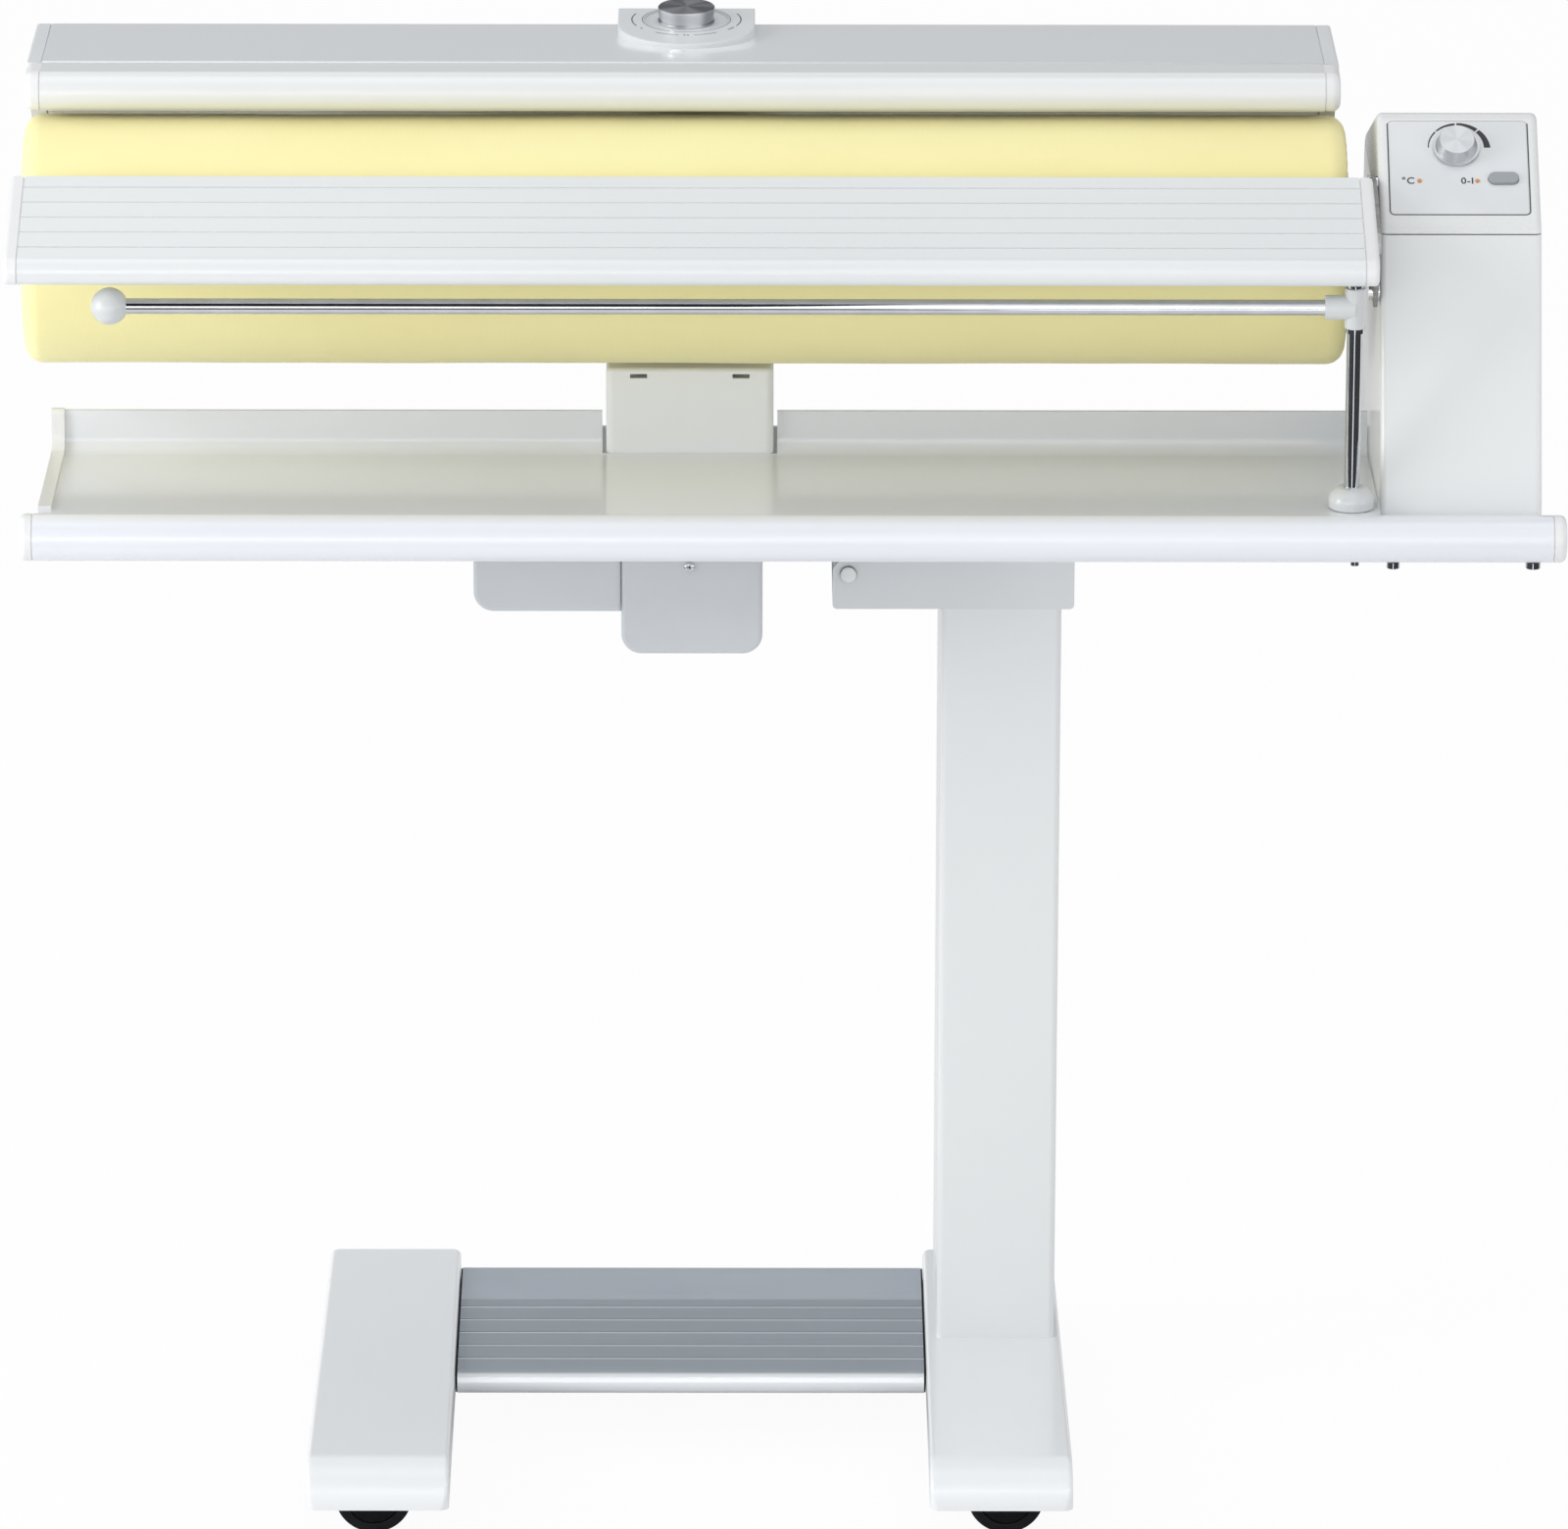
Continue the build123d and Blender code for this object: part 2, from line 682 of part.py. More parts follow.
bracket_top_gap = tray_wall / cos(radians(tray_slope)) + seat
bracket_back_y = rim_y - 9.0
bracket_front_y = tube_y + tube_radius + 3.0
base_front_y = tube_y + tube_radius - 1.0
base_bottom = housing_bottom_z - base_plate
cheek_rise = cover_top_z - 20.0
with BuildPart() as chassis_beam:
    with BuildSketch(across(beam_left)):
        with Locations((beam_y, beam_bottom + beam_flange / 2)):
            Rectangle(beam_back_y - beam_front_y, beam_flange)
        with Locations((beam_y, beam_floor + beam_flange / 2)):
            Rectangle(beam_back_y - beam_front_y - 2 * beam_wall, beam_flange, mode=Mode.SUBTRACT)
    extrude(amount=beam_right - beam_left)
    # Two lugs that turn about the fold pin between the column head's cheeks.
    for lug_y in (beam_front_y + seat + lug_thickness, beam_back_y - seat):
        with BuildSketch(facing(lug_y)):
            with Locations((pin_x, pin_z)):
                Circle(lug_radius)
            with Locations((pin_x, pin_z + (beam_height_over_pin + 1.0) / 2)):
                Rectangle(2 * lug_radius, beam_height_over_pin + 1.0)
        extrude(amount=lug_thickness)
    with BuildSketch(facing(beam_back_y)):
        with Locations((pin_x, pin_z)):
            Circle(fold_pin_radius + running)
    extrude(amount=beam_back_y - beam_front_y, mode=Mode.SUBTRACT)
    with BuildSketch(facing(beam_front_y + beam_wall + 1.0)):
        with Locations((motor_x, eccentric_z)):
            Circle(drive_shaft_radius + 2.0)
    extrude(amount=beam_wall + 2.0, mode=Mode.SUBTRACT)
    # Brackets that run forward under the tray.
    for bracket_x in (beam_left, pin_x - 20.0, housing_left - 60.0):
        with BuildSketch(across(bracket_x)):
            Polygon(
                (beam_front_y + 1.0, beam_bottom + 4.0),
                (beam_front_y + 1.0, beam_top),
                (bracket_back_y, tray_top(bracket_back_y) - bracket_top_gap),
                (bracket_front_y, tray_top(bracket_front_y) - bracket_top_gap),
                (bracket_front_y, tray_top(bracket_front_y) - bracket_top_gap - 8.0),
                (bracket_back_y, tray_top(bracket_back_y) - 24.0),
                align=None,
            )
        extrude(amount=bracket_thickness)
    # Cheeks that carry the heater arm's pin and, further forward, the cover.
    for cheek_x in (arm_x - bracket_gap / 2 - bearing_wall, arm_x + bracket_gap / 2):
        with BuildSketch(across(cheek_x)):
            Polygon(
                (beam_front_y + beam_wall + 4.0, beam_floor),
                (arm_pivot_y + 20.0, beam_floor),
                (arm_pivot_y + 20.0, arm_pivot_z),
                (arm_pivot_y - 20.0, arm_pivot_z),
                (cover_front_y + cover_depth - 5.0, cheek_rise),
                (beam_front_y + beam_wall + 4.0, cheek_rise),
                align=None,
            )
            with Locations((arm_pivot_y, arm_pivot_z)):
                Circle(20.0)
                Circle(arm_pin_radius, mode=Mode.SUBTRACT)
        extrude(amount=bearing_wall)
    # The plate under the housing, on two webs.
    with BuildSketch(lying(base_bottom)):
        with Locations((housing_x, (base_front_y + housing_back_y - 1.0) / 2)):
            Rectangle(housing_width - 2.0, housing_back_y - 1.0 - base_front_y)
    extrude(amount=base_plate)
    for web_x in (housing_left + 10.0, housing_right - 13.0):
        with BuildSketch(across(web_x)):
            with Locations(
                ((beam_front_y + housing_back_y - 5.0) / 2, (beam_floor + base_bottom) / 2)
            ):
                Rectangle(housing_back_y - 5.0 - beam_front_y, base_bottom - beam_floor)
        extrude(amount=beam_wall)

# --- Tray: a front tube, a sloping flat and a back rim, welded together -------------------------
rim_top = flat_back_z + rim_height
tray_bend = 9.0
tray_joint_y = flat_front_y - 6.0
with BuildPart() as tray:
    with BuildSketch(across(tube_left)):
        with Locations((tube_y, tube_center_z)):
            Circle(tube_radius)
    extrude(amount=tube_length)
    with BuildSketch(across(tray_left)):
        Polygon(
            (tray_joint_y, tray_top(tray_joint_y)),
            (rim_y, flat_back_z),
            (rim_y, rim_top),
            (rim_y + tray_wall, rim_top),
            (rim_y + tray_wall, flat_back_z - tray_wall),
            (tray_joint_y, tray_top(tray_joint_y) - tray_wall),
            align=None,
        )
        fillet(vertices().sort_by_distance((rim_y, flat_back_z))[0], tray_bend)
        outer_bend = vertices().sort_by_distance((rim_y + tray_wall, flat_back_z - tray_wall))
        fillet(outer_bend[0], tray_bend + tray_wall)
    extrude(amount=tray_length)
    # The notch round the arm bearing's cover.
    notch_front = cover_front_y - 0.5
    notch_back = rim_y + tray_bend + 4.0
    with BuildSketch(lying(flat_back_z - 12.0)):
        with Locations((arm_x, (notch_front + notch_back) / 2)):
            Rectangle(cover_width + 2 * notch_gap, notch_back - notch_front)
    extrude(amount=rim_height + 30.0, mode=Mode.SUBTRACT)
    with BuildSketch(across(tube_left)):
        with Locations((tube_y, tube_center_z)):
            Circle(tube_radius - tube_wall)
    extrude(amount=tube_length, mode=Mode.SUBTRACT)
    # The rim's two lengths are bent strips welded to the flat's back edge, beside the notch.
    split(bisect_by=facing(notch_front), keep=Keep.BOTH)

# Plugs in the tube's ends, and the moulded strip over the tray's left end.
with BuildPart() as tray_end_caps:
    for cap_x, outward in ((tube_left, -1), (tube_right, 1)):
        with BuildSketch(across(cap_x)):
            with Locations((tube_y, tube_center_z)):
                Circle(tube_radius)
        extrude(amount=outward * tube_cap)
        with BuildSketch(across(cap_x)):
            with Locations((tube_y, tube_center_z)):
                Circle(tube_radius - tube_wall - touch)
        extrude(amount=-outward * 10.0)
    for index in (0, -1):
        fillet(tray_end_caps.faces().sort_by(Axis.X)[index].edges(), 4.0)
    for seam_x in (tube_left - seam_width, tube_right):
        with BuildSketch(across(seam_x)):
            with Locations((tube_y, tube_center_z)):
                Circle(tube_radius + 1.0)
                Circle(tube_radius - seam_depth, mode=Mode.SUBTRACT)
        extrude(amount=seam_width, mode=Mode.SUBTRACT)
    cap_front = flat_front_y + 4.5
    cap_lift = 2.5
    with BuildSketch(across(tray_left)):
        Polygon(
            (cap_front, tray_top(cap_front) + cap_lift),
            (rim_y - cap_lift, flat_back_z + cap_lift),
            (rim_y - cap_lift, rim_top + 1.0),
            (rim_y + tray_wall + cap_lift, rim_top + 1.0),
            (rim_y + tray_wall + cap_lift, flat_back_z - tray_wall - cap_lift),
            (cap_front, tray_top(cap_front) - tray_wall - cap_lift),
            align=None,
        )
        fillet(vertices().sort_by_distance((rim_y - cap_lift, flat_back_z))[0], tray_bend)
        fillet(vertices().group_by(Axis.Y)[-1], 3.0)
        low_corner = (rim_y + tray_wall + cap_lift, flat_back_z - tray_wall - cap_lift)
        fillet(vertices().sort_by_distance(low_corner)[0], tray_bend + tray_wall)
    extrude(amount=-tray_cap)

# --- Arm bearing cover between the tray and the roller ------------------------------------------
with BuildPart() as arm_bearing_cover:
    with BuildSketch(lying(flat_back_z + 1.0)):
        with Locations((arm_x, cover_front_y + cover_depth / 2)):
            RectangleRounded(cover_width, cover_depth, 5.0)
    extrude(amount=cover_top_z - flat_back_z - 1.0)
    fillet(arm_bearing_cover.faces().sort_by(Axis.Z)[-1].edges(), 3.0)
    with BuildSketch(lying(flat_back_z + 1.0)):
        with Locations((arm_x, cover_front_y + cover_wall + cover_depth / 2)):
            Rectangle(cover_width - 2 * cover_wall, cover_depth)
    extrude(amount=cover_top_z - flat_back_z - 1.0 - cover_wall, mode=Mode.SUBTRACT)
    with BuildSketch(facing(cover_front_y + cover_wall + 1.0)):
        with Locations((arm_x - 33.0, cover_top_z - 5.0), (arm_x + 33.0, cover_top_z - 5.0)):
            Rectangle(11.0, 3.0)
    extrude(amount=cover_wall + 2.0, mode=Mode.SUBTRACT)

# --- Drive boxes under the tray -----------------------------------------------------------------
def drive_box(left, right, bottom, rounded_corners, screw_hole):
    """A moulded box, open at the back, with rounded lower corners."""
    depth = beam_front_y - box_front_y
    corner = {-1: left, 1: right}
    cavity_height = box_top - bottom + box_corner
    with BuildPart() as box:
        with BuildSketch(facing(beam_front_y)):
            with Locations(((left + right) / 2, (bottom + box_top) / 2)):
                Rectangle(right - left, box_top - bottom)
            low = vertices().group_by(Axis.Y)[0]
            for side in rounded_corners:
                fillet(low.sort_by_distance((corner[side], bottom - 99.0))[0], box_corner)
                low = vertices().group_by(Axis.Y)[0]
        extrude(amount=depth)
        fillet(box.faces().sort_by(Axis.Y)[0].edges(), 3.0)
        with BuildSketch(facing(beam_front_y + 1.0)):
            with Locations(((left + right) / 2, bottom + box_wall + cavity_height / 2)):
                RectangleRounded(
                    right - left - 2 * box_wall, cavity_height, box_corner - box_wall
                )
        extrude(amount=depth + 1.0 - box_wall, mode=Mode.SUBTRACT)
        if screw_hole:
            with BuildSketch(facing(box_front_y + box_wall + 1.0)):
                with Locations((motor_x, box_screw_z)):
                    Circle(box_screw_radius)
            extrude(amount=box_wall + 2.0, mode=Mode.SUBTRACT)
    return box


split_x = arm_x + box_split
drive_box_right = drive_box(
    split_x + touch, split_x + box_right_width, box_right_bottom, (-1, 1), True
)
drive_box_left = drive_box(
    split_x - box_left_width, split_x - touch, box_left_bottom, (-1,), False
)

# --- Press drive: gear motor, eccentric and the heater arm's bearing ----------------------------
with BuildPart() as press_motor:
    with BuildSketch(facing(beam_front_y - seat)):
        with Locations((motor_x, eccentric_z)):
            RectangleRounded(gear_face, gear_face, 8.0)
            Circle(drive_shaft_radius + running, mode=Mode.SUBTRACT)
    extrude(amount=gear_depth)
    with BuildSketch(facing(beam_front_y - seat - gear_depth)):
        with Locations((motor_x, eccentric_z)):
            Circle(motor_radius)
    extrude(amount=beam_front_y - gear_depth - box_front_y - box_wall - 9.0)

yoke_front_y = yoke_y - yoke_thickness / 2
with BuildPart() as press_eccentric:
    with BuildSketch(facing(yoke_front_y)):
        with Locations((motor_x, eccentric_z)):
            Circle(drive_shaft_radius)
    extrude(amount=yoke_front_y - beam_front_y + gear_depth - 4.0)
    with BuildSketch(facing(yoke_front_y + yoke_thickness)):
        with Locations((motor_x, eccentric_z + eccentric_throw)):
            Circle(eccentric_radius)
    extrude(amount=yoke_thickness)

with BuildPart() as arm_pivot_pin:
    with BuildSketch(across(arm_x - bracket_gap / 2 - bearing_wall - 2.0)):
        with Locations((arm_pivot_y, arm_pivot_z)):
            Circle(arm_pin_radius)
    extrude(amount=bracket_gap + 2 * bearing_wall + 4.0)

# --- Heater arm: box section, hub, the yoke that the eccentric moves, and the frame on top --------
frame_bottom = shoe_z + shoe_outer * cos(radians(60.0))
arm_top = frame_bottom + 20.0
arm_box_y = arm_pivot_y + arm_behind
arm_box_bottom = arm_pivot_z - 6.0
slot_height = eccentric_radius + yoke_play
slot_width = eccentric_radius + eccentric_throw + yoke_play
yoke_rim = 6.0
ring_top = eccentric_z + eccentric_throw + slot_height + yoke_rim
frame_depth = arm_depth + 10.0
frame_thickness = 8.0
frame_webs = (top_left + 40.0, arm_x - 150.0, arm_x + 150.0, top_right - 50.0)


def shoe_point(radius, angle):
    """A point round the shoe's axis, at an angle behind its highest point."""
    turn = radians(angle)
    return (shoe_y + radius * sin(turn), shoe_z + radius * cos(turn))


with BuildPart() as heater_arm:
    with BuildSketch(lying(arm_box_bottom)):
        with Locations((arm_x, arm_box_y)):
            Rectangle(arm_width, arm_depth)
            Rectangle(arm_width - 2 * arm_wall, arm_depth - 2 * arm_wall, mode=Mode.SUBTRACT)
    extrude(amount=arm_top - arm_box_bottom)
    with BuildSketch(across(arm_x - bracket_gap / 2 + 1.0)):
        with Locations((arm_pivot_y, arm_pivot_z)):
            Circle(hub_radius)
    extrude(amount=bracket_gap - 2.0)
    with BuildSketch(across(arm_x - 5.0)):
        Polygon(
            (yoke_front_y, ring_top - yoke_rim),
            (yoke_front_y + yoke_thickness, ring_top - yoke_rim),
            (arm_pivot_y - 8.0, arm_pivot_z - 8.0),
            (arm_pivot_y - 8.0, arm_pivot_z + 8.0),
            (arm_pivot_y - 14.0, arm_pivot_z + 6.0),
            (yoke_front_y, ring_top),
            align=None,
        )
    extrude(amount=10.0)
    with BuildSketch(facing(yoke_y + yoke_thickness / 2)):
        with Locations((motor_x, eccentric_z + eccentric_throw)):
            Rectangle(2 * (slot_width + yoke_rim), 2 * (slot_height + yoke_rim))
            Rectangle(2 * slot_width, 2 * slot_height, mode=Mode.SUBTRACT)
    extrude(amount=yoke_thickness)
    with BuildSketch(across(arm_x - bracket_gap / 2)):
        with Locations((arm_pivot_y, arm_pivot_z)):
            Circle(arm_pin_radius + running)
    extrude(amount=bracket_gap, mode=Mode.SUBTRACT)
    # The frame along the heater, and the webs that tie the shoe to it.
    with BuildSketch(across(top_left + 12.0)):
        with Locations((arm_box_y, arm_top + frame_thickness / 2)):
            Rectangle(frame_depth, frame_thickness)
    extrude(amount=top_right - top_left - 24.0)
    for web_x in frame_webs:
        with BuildSketch(across(web_x)):
            with BuildLine():
                shoe_edge = ThreePointArc(
                    shoe_point(shoe_outer + touch, 50.0),
                    shoe_point(shoe_outer + touch, 55.0),
                    shoe_point(shoe_outer + touch, 60.0),
                )
                up = Line(shoe_edge @ 0, (arm_box_y - arm_depth / 2, arm_top + 1.0))
                over = Line(up @ 1, (arm_box_y + arm_depth / 2, arm_top + 1.0))
                Line(over @ 1, shoe_edge @ 1)
            make_face()
        extrude(amount=10.0)

# --- Heater plate: a curved shoe round the top and back of the roller ---------------------------
shoe_middle = (shoe_front_angle + shoe_back_angle) / 2
with BuildPart() as heater_plate:
    with BuildSketch(across(top_left + 1.0)):
        with BuildLine():
            inner = ThreePointArc(
                shoe_point(shoe_inner, shoe_front_angle),
                shoe_point(shoe_inner, shoe_middle),
                shoe_point(shoe_inner, shoe_back_angle),
            )
            outer = ThreePointArc(
                shoe_point(shoe_outer, shoe_front_angle),
                shoe_point(shoe_outer, shoe_middle),
                shoe_point(shoe_outer, shoe_back_angle),
            )
            Line(inner @ 0, outer @ 0)
            Line(inner @ 1, outer @ 1)
        make_face()
    extrude(amount=top_right - top_left - 2.0)

element_radius = 4.0
element_angles = (28.0, 44.0, 66.0, 82.0)
with BuildPart() as heating_elements:
    with BuildSketch(across(top_left + 20.0)):
        for angle in element_angles:
            with Locations(shoe_point(shoe_outer + element_radius, angle)):
                Circle(element_radius - touch)
    extrude(amount=top_right - top_left - 40.0)

# --- Heater top cover, its end caps, the plinth and the thermostat ------------------------------
def top_block(left, length):
    """A length of the cover's full section, its outer edges rounded on the side towards an end."""
    with BuildPart() as block:
        with BuildSketch(across(left)):
            Polygon(
                (top_front_y, shoe_z),
                (top_front_y, top_front_z),
                (top_back_y, top_back_z),
                (top_back_y, top_skirt_z),
                (shoe_y, top_skirt_z),
                align=None,
            )
            fillet(vertices().sort_by_distance((top_back_y, top_back_z))[0], top_corner)
        extrude(amount=length)
    return block


def shoe_bore(left, length):
    """The round space under the cover in which the shoe lies."""
    with BuildPart() as bore:
        with BuildSketch(across(left)):
            with Locations((shoe_y, shoe_z)):
                Circle(shoe_inner + 1.0)
        extrude(amount=length)
    return bore


with BuildPart() as heater_cover:
    with BuildSketch(across(top_left)):
        with BuildLine():
            drop = top_wall / cos(radians(top_slope))
            front = Line((top_front_y, guard_center_z), (top_front_y, top_front_z))
            top = Line(front @ 1, (top_back_y, top_back_z))
            back = Line(top @ 1, (top_back_y, top_skirt_z))
            hem = Line(back @ 1, (top_back_y - top_wall, top_skirt_z))
            inside_back = Line(hem @ 1, (top_back_y - top_wall, top_back_z - drop))
            inside_top = Line(inside_back @ 1, (top_front_y + top_wall, top_front_z - drop))
            inside_front = Line(inside_top @ 1, (top_front_y + top_wall, guard_center_z))
            Line(inside_front @ 1, front @ 0)
        make_face()
        fillet(vertices().sort_by_distance((top_back_y, top_back_z))[0], top_corner)
        inner_corner = vertices().sort_by_distance((top_back_y - top_wall, top_back_z - drop))
        fillet(inner_corner[0], top_corner - top_wall)
    extrude(amount=top_right - top_left)
    with BuildSketch(lying(top_back_z - 20.0)):
        with Locations((knob_x, knob_y)):
            Circle(knob_stem + 1.0)
    extrude(amount=60.0, mode=Mode.SUBTRACT)
    # Lugs behind the finger guard that carry its hinge pins.
    for lug_x in (top_left + 1.0, top_right - 7.0):
        with BuildSketch(across(lug_x)):
            with Locations((guard_hinge_y, guard_hinge_z)):
                Circle(guard_lug_radius)
            with Locations(((guard_hinge_y + top_front_y) / 2, guard_hinge_z)):
                Rectangle(top_front_y - guard_hinge_y, 2 * guard_lug_radius)
            with Locations((guard_hinge_y, guard_hinge_z)):
                Circle(guard_pin_radius + running, mode=Mode.SUBTRACT)
        extrude(amount=6.0)

with BuildPart() as heater_end_caps:
    add(top_block(heater_left, heater_cap).part)
    add(top_block(top_right, heater_cap).part)
    for index in (0, -1):
        fillet(heater_end_caps.faces().sort_by(Axis.X)[index].edges(), 2.0)
    add(shoe_bore(heater_left, heater_length).part, mode=Mode.SUBTRACT)
    for seam_x in (top_left - seam_width, top_right):
        with BuildSketch(across(seam_x)):
            Polygon(
                (top_front_y - 1.0, shoe_z),
                (top_front_y - 1.0, top_front_z + 1.0),
                (top_back_y + 1.0, top_back_z + 1.0),
                (top_back_y + 1.0, top_skirt_z),
                (top_back_y - seam_depth, top_skirt_z),
                (top_back_y - seam_depth, top_back_z - top_corner / 2),
                (top_back_y - top_corner / 2, top_back_z - seam_depth),
                (top_front_y + seam_depth, top_front_z - seam_depth),
                (top_front_y + seam_depth, shoe_z),
                align=None,
            )
        extrude(amount=seam_width, mode=Mode.SUBTRACT)

plinth_back_y = top_back_y - 1.0
with BuildPart() as knob_plinth:
    with BuildSketch(lying(top_back_z - 4.0)):
        with BuildLine():
            half = plinth_width / 2
            left = Line((knob_x - half, plinth_back_y), (knob_x - half, plinth_arc_y))
            nose = ThreePointArc(
                left @ 1, (knob_x, plinth_arc_y - half), (knob_x + half, plinth_arc_y)
            )
            right = Line(nose @ 1, (knob_x + half, plinth_back_y))
            Line(right @ 1, left @ 0)
        make_face()
    extrude(amount=plinth_top - top_back_z + 4.0)
    fillet(knob_plinth.faces().sort_by(Axis.Z)[-1].edges(), 1.0)
    with BuildSketch(lying(plinth_top - plinth_recess)):
        with Locations((knob_x, knob_y)):
            Circle(plinth_recess_radius)
    extrude(amount=10.0, mode=Mode.SUBTRACT)
    with BuildSketch(lying(top_back_z - 10.0)):
        with Locations((knob_x, knob_y)):
            Circle(knob_stem + 1.0)
    extrude(amount=40.0, mode=Mode.SUBTRACT)
    add(top_block(heater_left, heater_length).part, mode=Mode.SUBTRACT)

with BuildPart() as temperature_knob:
    with BuildSketch(facing(knob_y)):
        with BuildLine():
            Polyline(
                (knob_x, knob_bottom),
                (knob_x + knob_radius, knob_bottom),
                (knob_x + knob_radius, knob_bottom + knob_flange),
                (knob_x + knob_radius - knob_flange, knob_bottom + knob_flange),
                (knob_x + knob_radius, knob_top - knob_edge),
                (knob_x + knob_radius - knob_edge, knob_top),
                (knob_x, knob_top),
                close=True,
            )
        make_face()
    revolve(axis=Axis((knob_x, knob_y, 0), (0, 0, 1)))
    with BuildSketch(lying(knob_bottom)):
        with Locations((knob_x, knob_y)):
            Circle(knob_stem)
    extrude(amount=-22.0)

thermostat_y = knob_y + 1.0
with BuildPart() as thermostat:
    with BuildSketch(lying(thermostat_top)):
        with Locations((knob_x, thermostat_y)):
            Rectangle(38.0, 32.0)
        with Locations((knob_x, knob_y)):
            Circle(knob_stem + running, mode=Mode.SUBTRACT)
    extrude(amount=-(thermostat_top - arm_top - frame_thickness))

# --- Finger guard: the rounded bar along the heater's front, which tilts up ---------------------
guard_back_y = top_front_y - guard_gap
guard_hem_y = 10.0
with BuildPart() as finger_guard:
    with BuildSketch(across(top_left)):
        with BuildLine():
            crown = guard_center_z + guard_radius
            base = guard_center_z - guard_radius
            top = Line((guard_back_y, crown), (0, crown))
            nose = ThreePointArc(top @ 1, (-guard_radius, guard_center_z), (0, base))
            under = Line(nose @ 1, (guard_hem_y, base))
            hem = Line(under @ 1, (guard_hem_y, base + guard_wall))
            in_under = Line(hem @ 1, (0, base + guard_wall))
            in_nose = ThreePointArc(
                in_under @ 1, (guard_wall - guard_radius, guard_center_z), (0, crown - guard_wall)
            )
            in_top = Line(in_nose @ 1, (guard_back_y, crown - guard_wall))
            Line(in_top @ 1, top @ 0)
        make_face()
    extrude(amount=top_right - top_left)

with BuildPart() as finger_guard_caps:
    for cap_x in (heater_left, top_right):
        with BuildSketch(across(cap_x)):
            with Locations((0, guard_center_z)):
                Circle(guard_radius)
            with Locations((guard_back_y / 2, guard_center_z + 1.5)):
                Rectangle(guard_back_y, 2 * guard_radius - 3.0)
        extrude(amount=heater_cap)
    for index in (0, -1):
        fillet(finger_guard_caps.faces().sort_by(Axis.X)[index].edges(), guard_cap_round)
    for seam_x in (top_left - seam_width, top_right):
        with BuildSketch(across(seam_x)):
            with Locations((0, guard_center_z)):
                Circle(guard_radius + 1.0)
                Circle(guard_radius - seam_depth, mode=Mode.SUBTRACT)
            with Locations((guard_radius, guard_center_z)):
                Rectangle(2 * guard_radius, 3 * guard_radius, mode=Mode.SUBTRACT)
        extrude(amount=seam_width, mode=Mode.SUBTRACT)
    # Hinge pins moulded on the caps, in the lugs of the heater's cover.
    for pin_start, inward in ((top_left, 1), (top_right, -1)):
        with BuildSketch(across(pin_start)):
            with Locations((guard_hinge_y, guard_hinge_z)):
                Circle(guard_pin_radius)
        extrude(amount=inward * 8.0)

# --- Roller: steel core, padding and cloth on a cantilever shaft ---------------------------------
roller_axis = Axis((0, 0, roller_z), (1, 0, 0))
disc_left = roller_left + core_inset + end_disc_inset
disc_right = roller_right - core_inset - end_disc_inset - end_disc
with BuildPart() as roller_core:
    with BuildSketch(across(roller_left + core_inset)):
        with Locations((0, roller_z)):
            Circle(core_radius)
            Circle(core_radius - core_wall, mode=Mode.SUBTRACT)
    extrude(amount=roller_length - 2 * core_inset)
    for disc_x in (disc_left, disc_right):
        with BuildSketch(across(disc_x)):
            with Locations((0, roller_z)):
                Circle(core_radius - core_wall / 2)
                Circle(shaft_radius, mode=Mode.SUBTRACT)
        extrude(amount=end_disc)

with BuildPart() as roller_padding:
    with BuildSketch(across(roller_left + core_inset)):
        with Locations((0, roller_z)):
            Circle(padding_radius)
            Circle(core_radius + touch, mode=Mode.SUBTRACT)
    extrude(amount=roller_length - 2 * core_inset)
    outer_rims = roller_padding.edges().filter_by(GeomType.CIRCLE).sort_by(SortBy.RADIUS)[-2:]
    fillet(outer_rims, 4.0)

cloth_hem = 52.0
with BuildPart() as roller_cover:
    with BuildSketch(Plane.XZ):
        with BuildLine():
            bottom = roller_z + cloth_hem
            edge = roller_z + roller_radius
            left = Line((roller_left, bottom), (roller_left, edge - roller_corner))
            left_turn = RadiusArc(left @ 1, (roller_left + roller_corner, edge), roller_corner)
            top = Line(left_turn @ 1, (roller_right - roller_corner, edge))
            right_turn = RadiusArc(top @ 1, (roller_right, edge - roller_corner), roller_corner)
            right = Line(right_turn @ 1, (roller_right, bottom))
            hem = Line(right @ 1, (roller_right - cloth, bottom))
            in_right = Line(hem @ 1, (roller_right - cloth, edge - roller_corner))
            in_turn = RadiusArc(
                in_right @ 1, (roller_right - roller_corner, edge - cloth), -(roller_corner - cloth)
            )
            in_top = Line(in_turn @ 1, (roller_left + roller_corner, edge - cloth))
            in_turn_2 = RadiusArc(
                in_top @ 1, (roller_left + cloth, edge - roller_corner), -(roller_corner - cloth)
            )
            in_left = Line(in_turn_2 @ 1, (roller_left + cloth, bottom))
            Line(in_left @ 1, left @ 0)
        make_face()
    revolve(axis=roller_axis)

with BuildPart() as roller_shaft:
    with BuildSketch(across(disc_left - 4.0)):
        with Locations((0, roller_z)):
            Circle(shaft_radius)
    extrude(amount=gearbox_x + 20.0 - disc_left + 4.0)

# --- Feed board: a hollow grooved panel between two end caps ------------------------------------
board_fall = radians(board_slope)


def board_plane(x):
    """The plane at X = x with its X axis down the board's slope; extrusion runs along -X."""
    return Plane(
        origin=(x, board_back_y, board_back_z),
        x_dir=(0, -cos(board_fall), -sin(board_fall)),
        z_dir=(-1, 0, 0),
    )


